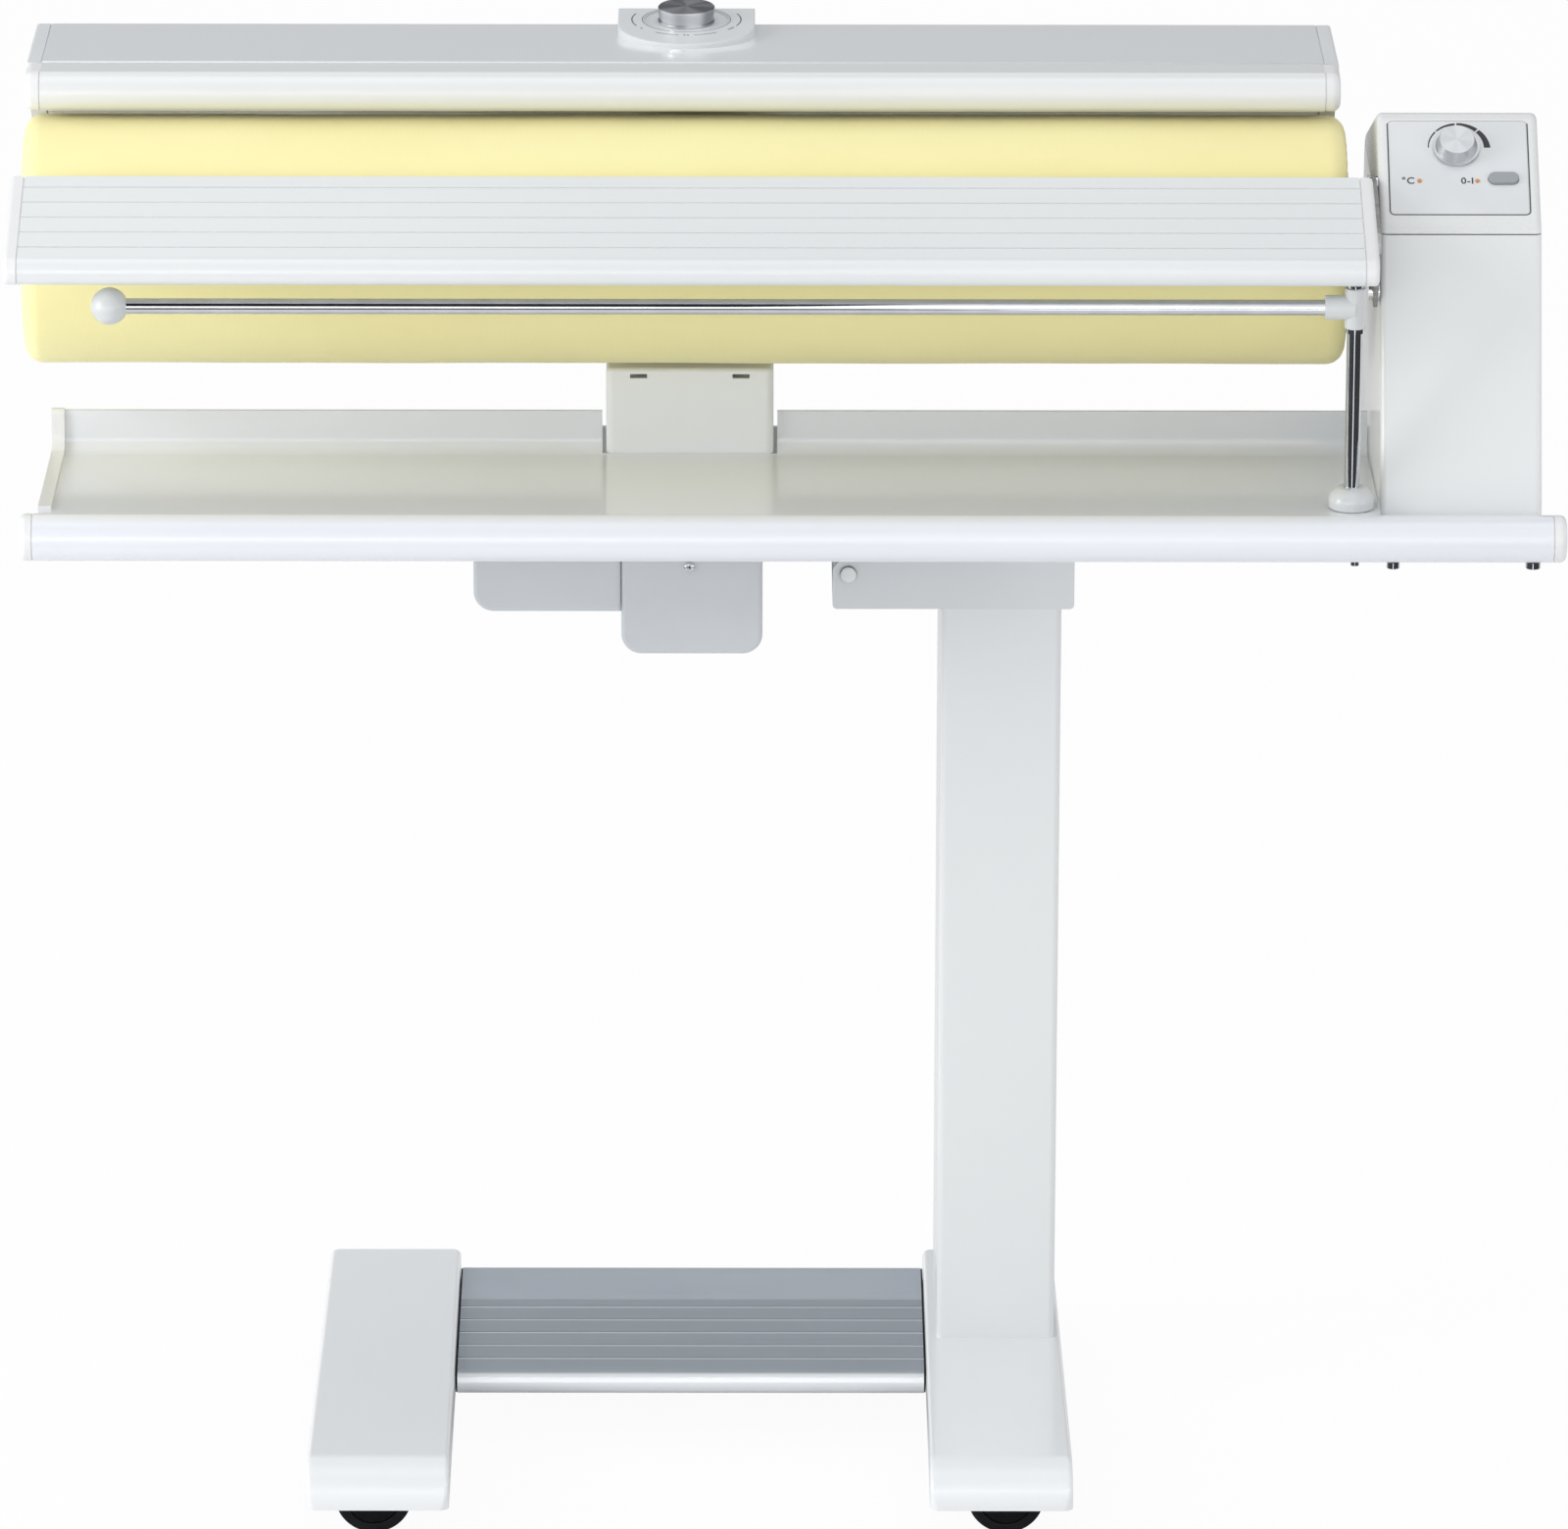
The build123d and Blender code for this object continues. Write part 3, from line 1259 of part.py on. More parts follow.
def board_outline(inset):
    """The board's section: a flat top, a round front edge and a square back."""
    radius = board_thickness / 2 - inset
    with BuildSketch() as outline:
        with BuildLine():
            top = Line((inset, -inset), (board_width, -inset))
            nose = ThreePointArc(
                top @ 1,
                (board_width + radius, -board_thickness / 2),
                (board_width, inset - board_thickness),
            )
            under = Line(nose @ 1, (inset + 14.0, inset - board_thickness))
            Line(under @ 1, top @ 0)
        make_face()
    return outline.sketch


board_panel_left = board_left + board_cap
board_panel_right = board_right - board_cap
with BuildPart() as feed_board:
    with BuildSketch(board_plane(board_panel_right)):
        add(board_outline(0.0))
        add(board_outline(board_wall), mode=Mode.SUBTRACT)
        for index in range(board_grooves):
            with Locations((board_first_groove + index * board_groove_pitch, 0)):
                Rectangle(1.6, 2 * board_groove, mode=Mode.SUBTRACT)
    extrude(amount=board_panel_right - board_panel_left)

with BuildPart() as feed_board_caps:
    for cap_x in (board_panel_left, board_right):
        with BuildSketch(board_plane(cap_x)):
            add(board_outline(0.0))
        extrude(amount=board_cap)
    for index in (0, -1):
        fillet(feed_board_caps.faces().sort_by(Axis.X)[index].edges(), 3.0)
    for seam_x in (board_panel_left, board_panel_right + seam_width):
        with BuildSketch(board_plane(seam_x)):
            add(board_outline(-1.0))
            add(board_outline(seam_depth), mode=Mode.SUBTRACT)
        extrude(amount=seam_width, mode=Mode.SUBTRACT)

# The board hangs on a plate between its right cap and the housing, held by two bolts.
bolt_places = (
    (board_back_y - low_bolt_out, board_back_z - low_bolt_drop),
    (board_back_y + high_bolt_in, board_back_z - high_bolt_drop),
)
board_plate = 2.5
with BuildPart() as feed_board_bracket:
    with BuildSketch(across(board_right)):
        with BuildLine():
            Polyline(
                (board_back_y - 4.0, board_back_z - 3.0),
                (bolt_places[1][0] + 6.0, bolt_places[1][1] + 5.0),
                (bolt_places[1][0] + 6.0, bolt_places[1][1] - 6.0),
                (bolt_places[0][0] + 8.0, bolt_places[0][1] - 8.0),
                (bolt_places[0][0] - 8.0, bolt_places[0][1] - 8.0),
                (board_back_y - plate_reach, board_back_z - plate_drop),
                (board_back_y - plate_reach + plate_chamfer / 2, board_back_z - plate_drop + plate_chamfer),
                close=True,
            )
        make_face()
        with Locations(*bolt_places):
            Circle(board_bolt_radius, mode=Mode.SUBTRACT)
    extrude(amount=board_plate)

# Fasteners that show: the board's bolts, the drive box's screw and three screws under the tray.
tray_screws = (
    (post_x + 1.6, 2.8, 2.4),
    (housing_left + 7.4, 4.2, 4.0),
    (housing_right - 6.5, 4.8, 4.0),
)
with BuildPart() as fixing_screws:
    for bolt_place in bolt_places:
        with BuildSketch(across(board_right - 3.0)):
            with Locations(bolt_place):
                Circle(board_bolt_radius + 2.5)
        extrude(amount=3.0)
        with BuildSketch(across(board_right)):
            with Locations(bolt_place):
                Circle(board_bolt_radius)
        extrude(amount=board_gap + housing_wall + 8.0)
        with BuildSketch(across(board_right + board_plate)):
            with Locations(bolt_place):
                Circle(board_bolt_radius + 3.5)
        extrude(amount=board_gap - board_plate)
    with BuildSketch(facing(box_front_y)):
        with Locations((motor_x, box_screw_z)):
            Circle(box_screw_radius + 1.4)
    extrude(amount=1.8)
    with BuildSketch(facing(box_front_y + box_wall + 6.0)):
        with Locations((motor_x, box_screw_z)):
            Circle(box_screw_radius)
    extrude(amount=box_wall + 6.0)
    for screw_x, head_radius, head_drop in tray_screws:
        with BuildSketch(lying(tube_center_z - tube_radius - touch)):
            with Locations((screw_x, tube_y)):
                Circle(head_radius)
        extrude(amount=-head_drop)

# --- Rail: a rod on a tee that turns about a post ------------------------------------------------
dome_base = flat_front_z + 0.5
dome_height = 12.5
dome_wall = 3.0
with BuildPart() as rail_post:
    with BuildSketch(lying(dome_base + 2.0)):
        with Locations((post_x, post_y)):
            Circle(post_radius)
    extrude(amount=rail_z + tee_height / 2 + 2.0 - dome_base - 2.0)
    # A shoulder ring that carries the tee.
    with BuildSketch(lying(rail_z - tee_height / 2 - 3.0)):
        with Locations((post_x, post_y)):
            Circle(post_radius + 1.6)
    extrude(amount=2.9)

with BuildPart() as post_dome:
    with BuildSketch(lying(dome_base)):
        with Locations((post_x, post_y)):
            Circle(dome_radius)
    extrude(amount=dome_height)
    fillet(post_dome.faces().sort_by(Axis.Z)[-1].edges(), dome_height - dome_wall - 1.0)
    with BuildSketch(lying(dome_base + 2.0)):
        with Locations((post_x, post_y)):
            Circle(post_radius)
    extrude(amount=dome_height, mode=Mode.SUBTRACT)

with BuildPart() as rail_tee:
    with BuildSketch(lying(rail_z - tee_height / 2)):
        with Locations((post_x, post_y)):
            Circle(tee_radius)
    extrude(amount=tee_height)
    with BuildSketch(across(post_x - sleeve_length)):
        with Locations((post_y, rail_z)):
            Circle(sleeve_radius)
    extrude(amount=sleeve_length)
    with BuildSketch(lying(rail_z - tee_height / 2 - 1.0)):
        with Locations((post_x, post_y)):
            Circle(post_radius + running)
    extrude(amount=tee_height + 2.0, mode=Mode.SUBTRACT)
    with BuildSketch(across(post_x - sleeve_length - 1.0)):
        with Locations((post_y, rail_z)):
            Circle(rail_radius)
    extrude(amount=sleeve_length - post_radius - 2.0, mode=Mode.SUBTRACT)

with BuildPart() as rail_rod:
    with BuildSketch(across(ball_x)):
        with Locations((post_y, rail_z)):
            Circle(rail_radius)
    extrude(amount=rail_length - post_radius - 3.0)

with BuildPart() as rail_ball:
    with BuildSketch(facing(post_y)):
        with Locations((ball_x, rail_z)):
            Circle(ball_radius)
        with Locations((ball_x, rail_z - ball_radius)):
            Rectangle(4 * ball_radius, 2 * ball_radius, mode=Mode.SUBTRACT)
        with Locations((ball_x + ball_radius, rail_z)):
            Rectangle(2 * ball_radius, 2 * rail_radius, mode=Mode.SUBTRACT)
    revolve(axis=Axis((ball_x, post_y, rail_z), (1, 0, 0)))


# --- Housing: a sheet shell, the moulded control head and its inset panel -----------------------
def housing_outline(inset):
    """The housing's side view: a leaning front, a lip, a sloping panel, a ridge and a roof."""
    base_z = housing_bottom_z - (20.0 if inset else 0.0)
    lean = (lip_y - front_foot_y) / (seam_z - housing_bottom_z)
    with BuildSketch() as outline:
        Polygon(
            (front_foot_y + lean * (base_z - housing_bottom_z), base_z),
            (lip_y, seam_z),
            (lip_y, lip_z),
            (ridge_y, ridge_z),
            (housing_back_y, roof_back_z),
            (housing_back_y, base_z),
            align=None,
        )
        fillet(vertices().sort_by_distance((lip_y, lip_z))[0], lip_radius)
        fillet(vertices().sort_by_distance((ridge_y, ridge_z))[0], ridge_radius)
        fillet(vertices().sort_by_distance((housing_back_y, roof_back_z))[0], shoulder_radius)
        if inset:
            offset(amount=-inset)
    return outline.sketch


def housing_block(low, high):
    """The hollow housing between two heights, with its side edges rounded."""
    with BuildPart() as block:
        with BuildSketch(across(housing_left)):
            add(housing_outline(0.0))
        extrude(amount=housing_width)
        for index in (0, -1):
            side_face = block.faces().filter_by(Axis.X).sort_by(Axis.X)[index]
            rim = side_face.edges().filter_by(
                lambda edge: edge.center().Z > housing_bottom_z + 1.0
            )
            fillet(rim, side_round)
        with BuildSketch(across(housing_left + housing_wall)):
            add(housing_outline(housing_wall))
        extrude(amount=housing_width - 2 * housing_wall, mode=Mode.SUBTRACT)
        with BuildSketch(lying(low)):
            with Locations((housing_x, 0)):
                Rectangle(2 * housing_width, 2 * foot_length)
        extrude(amount=high - low, mode=Mode.INTERSECT)
    return block.part


def panel_plane(out):
    """The control panel's plane, its origin at the lip in the housing's middle."""
    return on_slope(housing_x, lip_y, lip_z, panel_slope).offset(out)


def panel_holes():
    """The holes in the control head for the knob's stem, the lamps and the button."""
    with BuildSketch() as holes:
        with Locations((dial_aside, dial_up)):
            Circle(dial_stem + 0.5)
        for lamp_aside in lamp_asides:
            with Locations((lamp_aside, lamp_up)):
                Circle(lamp_radius)
        with Locations((button_aside, button_up)):
            SlotOverall(button_width + 2 * seat, button_height + 2 * seat)
    return holes.sketch


gland_x = housing_left + 50.0
with BuildPart() as housing_shell:
    add(housing_block(housing_bottom_z, seam_z - head_seam))
    with BuildSketch(across(housing_left - 1.0)):
        with Locations((0, roller_z)):
            Circle(shaft_radius + 6.0)
        with Locations(bolt_places[0]):
            Circle(board_bolt_radius)
    extrude(amount=housing_wall + 2.0, mode=Mode.SUBTRACT)
    with BuildSketch(facing(housing_back_y + 1.0)):
        with Locations((gland_x, gland_z)):
            Circle(gland_neck)
    extrude(amount=housing_wall + 2.0, mode=Mode.SUBTRACT)

with BuildPart() as control_head:
    add(housing_block(seam_z, ridge_z + 1.0))
    with BuildSketch(panel_plane(-panel_depth)):
        with Locations((0, panel_up)):
            RectangleRounded(panel_width, panel_height, 3.5)
    extrude(amount=panel_depth + 2.0, mode=Mode.SUBTRACT)
    with BuildSketch(panel_plane(-housing_wall - 1.0)):
        add(panel_holes())
    extrude(amount=housing_wall + 2.0, mode=Mode.SUBTRACT)
    with BuildSketch(across(housing_left - 1.0)):
        with Locations(bolt_places[1]):
            Circle(board_bolt_radius)
    extrude(amount=housing_wall + 2.0, mode=Mode.SUBTRACT)

panel_skin = panel_depth - 0.2
with BuildPart() as control_panel:
    with BuildSketch(panel_plane(-panel_depth)):
        with Locations((0, panel_up)):
            RectangleRounded(panel_width - 2 * seat, panel_height - 2 * seat, 3.2)
        add(panel_holes(), mode=Mode.SUBTRACT)
    extrude(amount=panel_skin)

dial_foot = panel_skin - panel_depth + seat
with BuildPart() as speed_knob:
    with BuildSketch(panel_plane(dial_foot)):
        with Locations((dial_aside, dial_up)):
            Circle(dial_base_radius)
    extrude(amount=dial_base_height)
    with BuildSketch(panel_plane(dial_foot + dial_base_height)):
        with Locations((dial_aside, dial_up)):
            Circle(dial_base_radius - 1.5)
    with BuildSketch(panel_plane(dial_foot + dial_height)):
        with Locations((dial_aside, dial_up)):
            Circle(dial_cap_radius)
    loft()
    with BuildSketch(panel_plane(dial_foot)):
        with Locations((dial_aside, dial_up)):
            Circle(dial_stem)
    extrude(amount=-10.0)

with BuildPart() as indicator_lamps:
    for lamp_aside in lamp_asides:
        with BuildSketch(panel_plane(-housing_wall - 0.5)):
            with Locations((lamp_aside, lamp_up)):
                Circle(lamp_radius)
        extrude(amount=housing_wall + 0.9)

with BuildPart() as power_button:
    with BuildSketch(panel_plane(-button_depth)):
        with Locations((button_aside, button_up)):
            SlotOverall(button_width, button_height)
    extrude(amount=button_depth + button_proud)
    fillet(power_button.faces().sort_by(Axis.Z)[-1].edges(), 0.8)

# --- Inside the housing: bearing plate, bearings and the roller's gear motor ---------------------
with BuildPart() as bearing_plate:
    with BuildSketch(across(plate_x)):
        Polygon(
            (plate_front_y, housing_bottom_z),
            (plate_back_y, housing_bottom_z),
            (plate_back_y, roller_z),
            (plate_back_y - 60.0, roller_z + plate_over_axis),
            (plate_front_y + 25.0, roller_z + plate_over_axis),
            (plate_front_y, roller_z - 20.0),
            align=None,
        )
        with Locations((0, roller_z)):
            Circle(bearing_radius + touch, mode=Mode.SUBTRACT)
    extrude(amount=plate_thickness)
    with BuildSketch(across(plate_x)):
        with Locations((0, roller_z)):
            Circle(collar_radius)
            Circle(bearing_radius + touch, mode=Mode.SUBTRACT)
    extrude(amount=gearbox_x - touch - plate_x)

with BuildPart() as roller_bearings:
    for bearing_x in (plate_x + 2.0, gearbox_x - bearing_width - 2.0):
        with BuildSketch(across(bearing_x)):
            with Locations((0, roller_z)):
                Circle(bearing_radius)
                Circle(shaft_radius + running, mode=Mode.SUBTRACT)
        extrude(amount=bearing_width)

with BuildPart() as roller_motor:
    with BuildSketch(across(gearbox_x)):
        with Locations((gearbox_back, roller_z - gearbox_drop)):
            RectangleRounded(gearbox_length, gearbox_height, 8.0)
        with Locations((0, roller_z)):
            Circle(shaft_radius + running, mode=Mode.SUBTRACT)
    extrude(amount=gearbox_depth)
    with BuildSketch(across(gearbox_x)):
        with Locations((roller_motor_y, roller_z - roller_motor_drop)):
            Circle(roller_motor_radius)
    extrude(amount=-roller_motor_length)

with BuildPart() as cable_gland:
    with BuildSketch(facing(housing_back_y + gland_length)):
        with Locations((gland_x, gland_z)):
            Circle(gland_radius)
    extrude(amount=gland_length)
    with BuildSketch(facing(housing_back_y)):
        with Locations((gland_x, gland_z)):
            Circle(gland_neck)
    extrude(amount=housing_wall + 3.0)
    with BuildSketch(facing(housing_back_y + gland_length)):
        with Locations((gland_x, gland_z)):
            Circle(gland_bore)
    extrude(amount=gland_length + housing_wall + 3.0, mode=Mode.SUBTRACT)

# --- Output: one labelled file per piece --------------------------------------------------------
pieces = {
    "left_foot": left_foot,
    "right_foot": right_foot,
    "foot_crossbar": foot_crossbar,
    "wheel_forks": wheel_forks,
    "wheel_axles": wheel_axles,
    **wheels,
    "pedal": pedal,
    "pedal_hinge_pins": pedal_hinge_pins,
    "pedal_return_spring": pedal_return_spring,
    "pedal_switch": pedal_switch,
    "column": column,
    "column_head": column_head,
    "fold_pin": fold_pin,
    "fold_pin_clips": fold_pin_clips,
    "rest_buffers": rest_buffers,
    "chassis_beam": chassis_beam,
    "tray": tray,
    "tray_end_caps": tray_end_caps,
    "arm_bearing_cover": arm_bearing_cover,
    "drive_box_left": drive_box_left,
    "drive_box_right": drive_box_right,
    "press_motor": press_motor,
    "press_eccentric": press_eccentric,
    "arm_pivot_pin": arm_pivot_pin,
    "heater_arm": heater_arm,
    "heater_plate": heater_plate,
    "heating_elements": heating_elements,
    "heater_cover": heater_cover,
    "heater_end_caps": heater_end_caps,
    "knob_plinth": knob_plinth,
    "temperature_knob": temperature_knob,
    "thermostat": thermostat,
    "finger_guard": finger_guard,
    "finger_guard_caps": finger_guard_caps,
    "roller_core": roller_core,
    "roller_padding": roller_padding,
    "roller_cover": roller_cover,
    "roller_shaft": roller_shaft,
    "feed_board": feed_board,
    "feed_board_caps": feed_board_caps,
    "feed_board_bracket": feed_board_bracket,
    "fixing_screws": fixing_screws,
    "rail_post": rail_post,
    "post_dome": post_dome,
    "rail_tee": rail_tee,
    "rail_rod": rail_rod,
    "rail_ball": rail_ball,
    "housing_shell": housing_shell,
    "control_head": control_head,
    "control_panel": control_panel,
    "speed_knob": speed_knob,
    "indicator_lamps": indicator_lamps,
    "power_button": power_button,
    "bearing_plate": bearing_plate,
    "roller_bearings": roller_bearings,
    "roller_motor": roller_motor,
    "cable_gland": cable_gland,
}
os.makedirs("parts", exist_ok=True)
for name, piece in pieces.items():
    piece.part.label = name
    export_step(piece.part, f"parts/{name}.step")
print(len(pieces), "pieces")
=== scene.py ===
import math

import bpy
import numpy as np
from mathutils import Matrix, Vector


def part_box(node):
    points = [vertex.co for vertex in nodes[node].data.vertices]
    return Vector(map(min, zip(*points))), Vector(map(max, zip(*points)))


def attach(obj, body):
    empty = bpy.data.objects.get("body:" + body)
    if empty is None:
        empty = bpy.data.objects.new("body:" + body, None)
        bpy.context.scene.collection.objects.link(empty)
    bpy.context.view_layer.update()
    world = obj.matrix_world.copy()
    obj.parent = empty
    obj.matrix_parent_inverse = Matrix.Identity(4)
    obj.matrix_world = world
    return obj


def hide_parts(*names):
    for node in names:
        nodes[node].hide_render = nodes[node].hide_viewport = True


# A flatwork ironer on its wheeled stand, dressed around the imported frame. The real machine is
# baked white enamel and white mouldings round a yellow cotton roller, with a silver foot pedal.
# Metres, with the frame's axes: X to the right, Y away from the operator, Z up.
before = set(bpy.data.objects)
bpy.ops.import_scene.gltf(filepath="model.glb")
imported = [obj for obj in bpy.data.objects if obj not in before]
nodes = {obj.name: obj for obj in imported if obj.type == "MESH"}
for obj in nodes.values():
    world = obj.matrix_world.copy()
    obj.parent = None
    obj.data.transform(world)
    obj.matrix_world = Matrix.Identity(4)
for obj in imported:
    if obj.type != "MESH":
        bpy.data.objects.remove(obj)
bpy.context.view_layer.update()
scene = bpy.context.scene
scene.view_settings.view_transform = "Standard"

# --- Camera ---
# A long lens in front of the machine and above it, as a catalogue picture is taken, so that the
# upright edges stay nearly parallel.
focal_length = 276.8
film_width = 36.0
camera_place = (-0.0295, -7.3895, 3.1674)
camera_right = (0.99999272, -0.00307914, 0.00225526)
camera_up = (-0.00106611, 0.34202592, 0.93968991)
camera_back = (-0.00366479, -0.93968547, 0.34202014)

lens_data = bpy.data.cameras.new("catalogue_lens")
lens_data.lens = focal_length
lens_data.sensor_width = film_width
lens_data.clip_end = 60.0
camera = bpy.data.objects.new("catalogue_camera", lens_data)
camera_turn = Matrix((camera_right, camera_up, camera_back)).transposed().to_4x4()
camera.matrix_world = Matrix.Translation(camera_place) @ camera_turn
scene.collection.objects.link(camera)
scene.camera = camera

# --- Studio: white floor, grey world and soft lamps ---
# A white paper floor that still takes the machine's soft shadow, a world that fills from all
# round, and large lamps that stand in front and to the sides.
floor_size = 30.0
floor_height = 0.0
paper_grey = 0.90
paper_own_light = 0.95
fill_colour = (0.970, 0.984, 1.0, 1.0)
fill_strength = 0.70
white = (1.0, 1.0, 1.0, 1.0)


def blank_material(name):
    """An empty node material with a Principled shader: returns (material, tree, shader)."""
    material = bpy.data.materials.new(name)
    material.use_nodes = True
    tree = material.node_tree
    return material, tree, tree.nodes["Principled BSDF"]


def worked_out(tree, operation, *values):
    """A Math node's result. Each value is a socket that is joined on, or a number that is set."""
    node = tree.nodes.new("ShaderNodeMath")
    node.operation = operation
    for place, value in enumerate(values):
        if isinstance(value, float):
            node.inputs[place].default_value = value
        else:
            tree.links.new(value, node.inputs[place])
    return node.outputs[0]


def grid_mesh(name, points, loop_u=False, loop_v=False):
    """A quad mesh from an array of points with the shape (rows, columns, 3).

    Point (i, j) is joined to (i + 1, j) and (i, j + 1). loop_u closes the rows on the first row,
    and loop_v closes the columns on the first column.
    """
    rows, columns = points.shape[:2]
    row_steps = np.arange(rows if loop_u else rows - 1)
    column_steps = np.arange(columns if loop_v else columns - 1)
    i, j = np.meshgrid(row_steps, column_steps, indexing="ij")
    next_i = (i + 1) % rows
    next_j = (j + 1) % columns
    corners = (i * columns + j, next_i * columns + j, next_i * columns + next_j, i * columns + next_j)
    faces = np.stack([corner.ravel() for corner in corners], axis=1)
    mesh = bpy.data.meshes.new(name)
    mesh.vertices.add(rows * columns)
    mesh.vertices.foreach_set("co", points.reshape(-1).astype(np.float32))
    mesh.loops.add(faces.size)
    mesh.loops.foreach_set("vertex_index", faces.reshape(-1).astype(np.int32))
    mesh.polygons.add(len(faces))
    mesh.polygons.foreach_set("loop_start", np.arange(0, faces.size, 4, dtype=np.int32))
    mesh.update(calc_edges=True)
    mesh.validate()
    return mesh


def new_piece(name, mesh, material, smooth=True):
    """Links a finished mesh as an object at the origin with one material."""
    mesh.materials.append(material)
    mesh.polygons.foreach_set("use_smooth", np.full(len(mesh.polygons), smooth))
    piece = bpy.data.objects.new(name, mesh)
    scene.collection.objects.link(piece)
    return piece


paper, paper_tree, paper_shader = blank_material("studio_paper")
paper_shader.inputs["Base Color"].default_value = (paper_grey, paper_grey, paper_grey, 1.0)
paper_shader.inputs["Roughness"].default_value = 0.9
paper_shader.inputs["Specular IOR Level"].default_value = 0.1
paper_glow = paper_tree.nodes.new("ShaderNodeEmission")
paper_glow.inputs["Color"].default_value = white
paper_glow.inputs["Strength"].default_value = 1.0
paper_seen = paper_tree.nodes.new("ShaderNodeLightPath")
paper_share = worked_out(
    paper_tree, "MULTIPLY", paper_seen.outputs["Is Camera Ray"], paper_own_light
)
paper_mix = paper_tree.nodes.new("ShaderNodeMixShader")
paper_out = paper_tree.nodes["Material Output"]
paper_tree.links.new(paper_share, paper_mix.inputs[0])
paper_tree.links.new(paper_shader.outputs[0], paper_mix.inputs[1])
paper_tree.links.new(paper_glow.outputs[0], paper_mix.inputs[2])
paper_tree.links.new(paper_mix.outputs[0], paper_out.inputs["Surface"])

floor_side = np.linspace(-floor_size / 2, floor_size / 2, 3)
floor_x, floor_y = np.meshgrid(floor_side, floor_side, indexing="ij")
floor_points = np.stack([floor_x, floor_y, np.full_like(floor_x, floor_height)], axis=2)
floor = new_piece("studio_floor", grid_mesh("studio_floor", floor_points), paper)

world = bpy.data.worlds.new("studio_world")
scene.world = world
world.use_nodes = True
world_tree = world.node_tree
world_fill = world_tree.nodes["Background"]
world_fill.inputs["Color"].default_value = fill_colour
world_fill.inputs["Strength"].default_value = fill_strength
world_white = world_tree.nodes.new("ShaderNodeBackground")
world_white.inputs["Color"].default_value = white
world_white.inputs["Strength"].default_value = 1.0
world_seen = world_tree.nodes.new("ShaderNodeLightPath")
world_mix = world_tree.nodes.new("ShaderNodeMixShader")
world_bright = worked_out(
    world_tree, "MAXIMUM", world_seen.outputs["Is Camera Ray"], world_seen.outputs["Is Glossy Ray"]
)
world_tree.links.new(world_bright, world_mix.inputs[0])
world_tree.links.new(world_fill.outputs[0], world_mix.inputs[1])
world_tree.links.new(world_white.outputs[0], world_mix.inputs[2])
world_tree.links.new(world_mix.outputs[0], world_tree.nodes["World Output"].inputs["Surface"])


def soft_lamp(name, place, target, size, power):
    """A square area lamp at a place, turned to face a target."""
    lamp_data = bpy.data.lights.new(name, "AREA")
    lamp_data.shape = "RECTANGLE"
    lamp_data.size, lamp_data.size_y = size
    lamp_data.energy = power
    lamp = bpy.data.objects.new(name, lamp_data)
    out = np.array(place, float) - np.array(target, float)
    out /= np.linalg.norm(out)
    side = np.cross((0.0, 0.0, 1.0), out)
    side /= np.linalg.norm(side)
    up = np.cross(out, side)
    turn = Matrix((tuple(side), tuple(up), tuple(out))).transposed().to_4x4()
    lamp.matrix_world = Matrix.Translation(place) @ turn
    scene.collection.objects.link(lamp)
    return lamp


soft_lamp("front_lamp", (-0.8, -3.3, 3.0), (0.0, 0.0, 0.6), (2.6, 1.4), 7.0)
soft_lamp("low_front_lamp", (0.2, -3.4, 0.9), (0.0, 0.0, 0.6), (2.4, 0.9), 0.5)
soft_lamp("middle_front_lamp", (0.0, -3.4, 1.7), (0.0, 0.0, 0.7), (2.6, 0.8), 7.5)
soft_lamp("top_lamp", (0.0, 0.3, 4.4), (0.0, 0.0, 0.6), (3.0, 2.0), 12.0)
soft_lamp("left_lamp", (-3.0, -1.2, 1.6), (0.0, 0.0, 0.6), (1.2, 2.4), 54.0)
soft_lamp("right_lamp", (3.0, -1.8, 1.4), (0.0, 0.0, 0.6), (1.2, 2.2), 9.0)

# --- Studio flags and strips: what only the reflections show ---
# Dark cloths lie on the floor in front with a bright gap between them, a low strip light runs
# across, and cards hang overhead and behind, so that chrome and enamel get their crisp lines.
flag_centre = (0.30, -0.15)


def curved_card(name, inner, outer, low, high, from_angle, to_angle, tone, glow=0.0):
    """A card on an arc round flag_centre, its angles in degrees from -Y towards +X.

    It goes from the radius inner at the height low to the radius outer at the height high. The
    point at angle t and radius r is centre + r * (sin t, -cos t, 0), lifted by its height.
    """
    material, tree, shader = blank_material(name)
    shader.inputs["Base Color"].default_value = (tone, tone, tone * 1.08, 1.0)
    shader.inputs["Roughness"].default_value = 1.0
    shader.inputs["Emission Color"].default_value = white
    shader.inputs["Emission Strength"].default_value = glow
    turn, share = np.meshgrid(
        np.radians(np.linspace(from_angle, to_angle, 33)), np.linspace(0.0, 1.0, 3), indexing="ij"
    )
    radius = inner + (outer - inner) * share
    x = flag_centre[0] + radius * np.sin(turn)
    y = flag_centre[1] - radius * np.cos(turn)
    height = low + (high - low) * share
    card = new_piece(name, grid_mesh(name, np.stack([x, y, height], axis=2)), material)
    card.visible_camera = False
    card.visible_diffuse = False
    card.visible_shadow = False
    card.visible_transmission = False
    return card


curved_card("left_floor_cloth", 1.5, 3.0, 0.004, 0.004, -112.0, -4.0, 0.02)
curved_card("right_floor_cloth", 1.5, 3.0, 0.004, 0.004, 6.0, 100.0, 0.02)
curved_card("floor_gap_light", 1.5, 3.0, 0.004, 0.004, -4.0, 6.0, 0.8, 0.9)
curved_card("low_strip_light", 1.25, 1.25, 0.80, 0.84, -75.0, 75.0, 0.8, 7.0)
curved_card("left_high_flag", 1.15, 2.3, 2.6, 1.4, -112.0, -8.0, 0.02)
curved_card("back_high_flag", 0.45, 1.5, 2.6, 2.6, 125.0, 235.0, 0.03)
curved_card("back_grey_flag", 2.6, 2.6, 0.6, 2.3, 125.0, 235.0, 0.16)

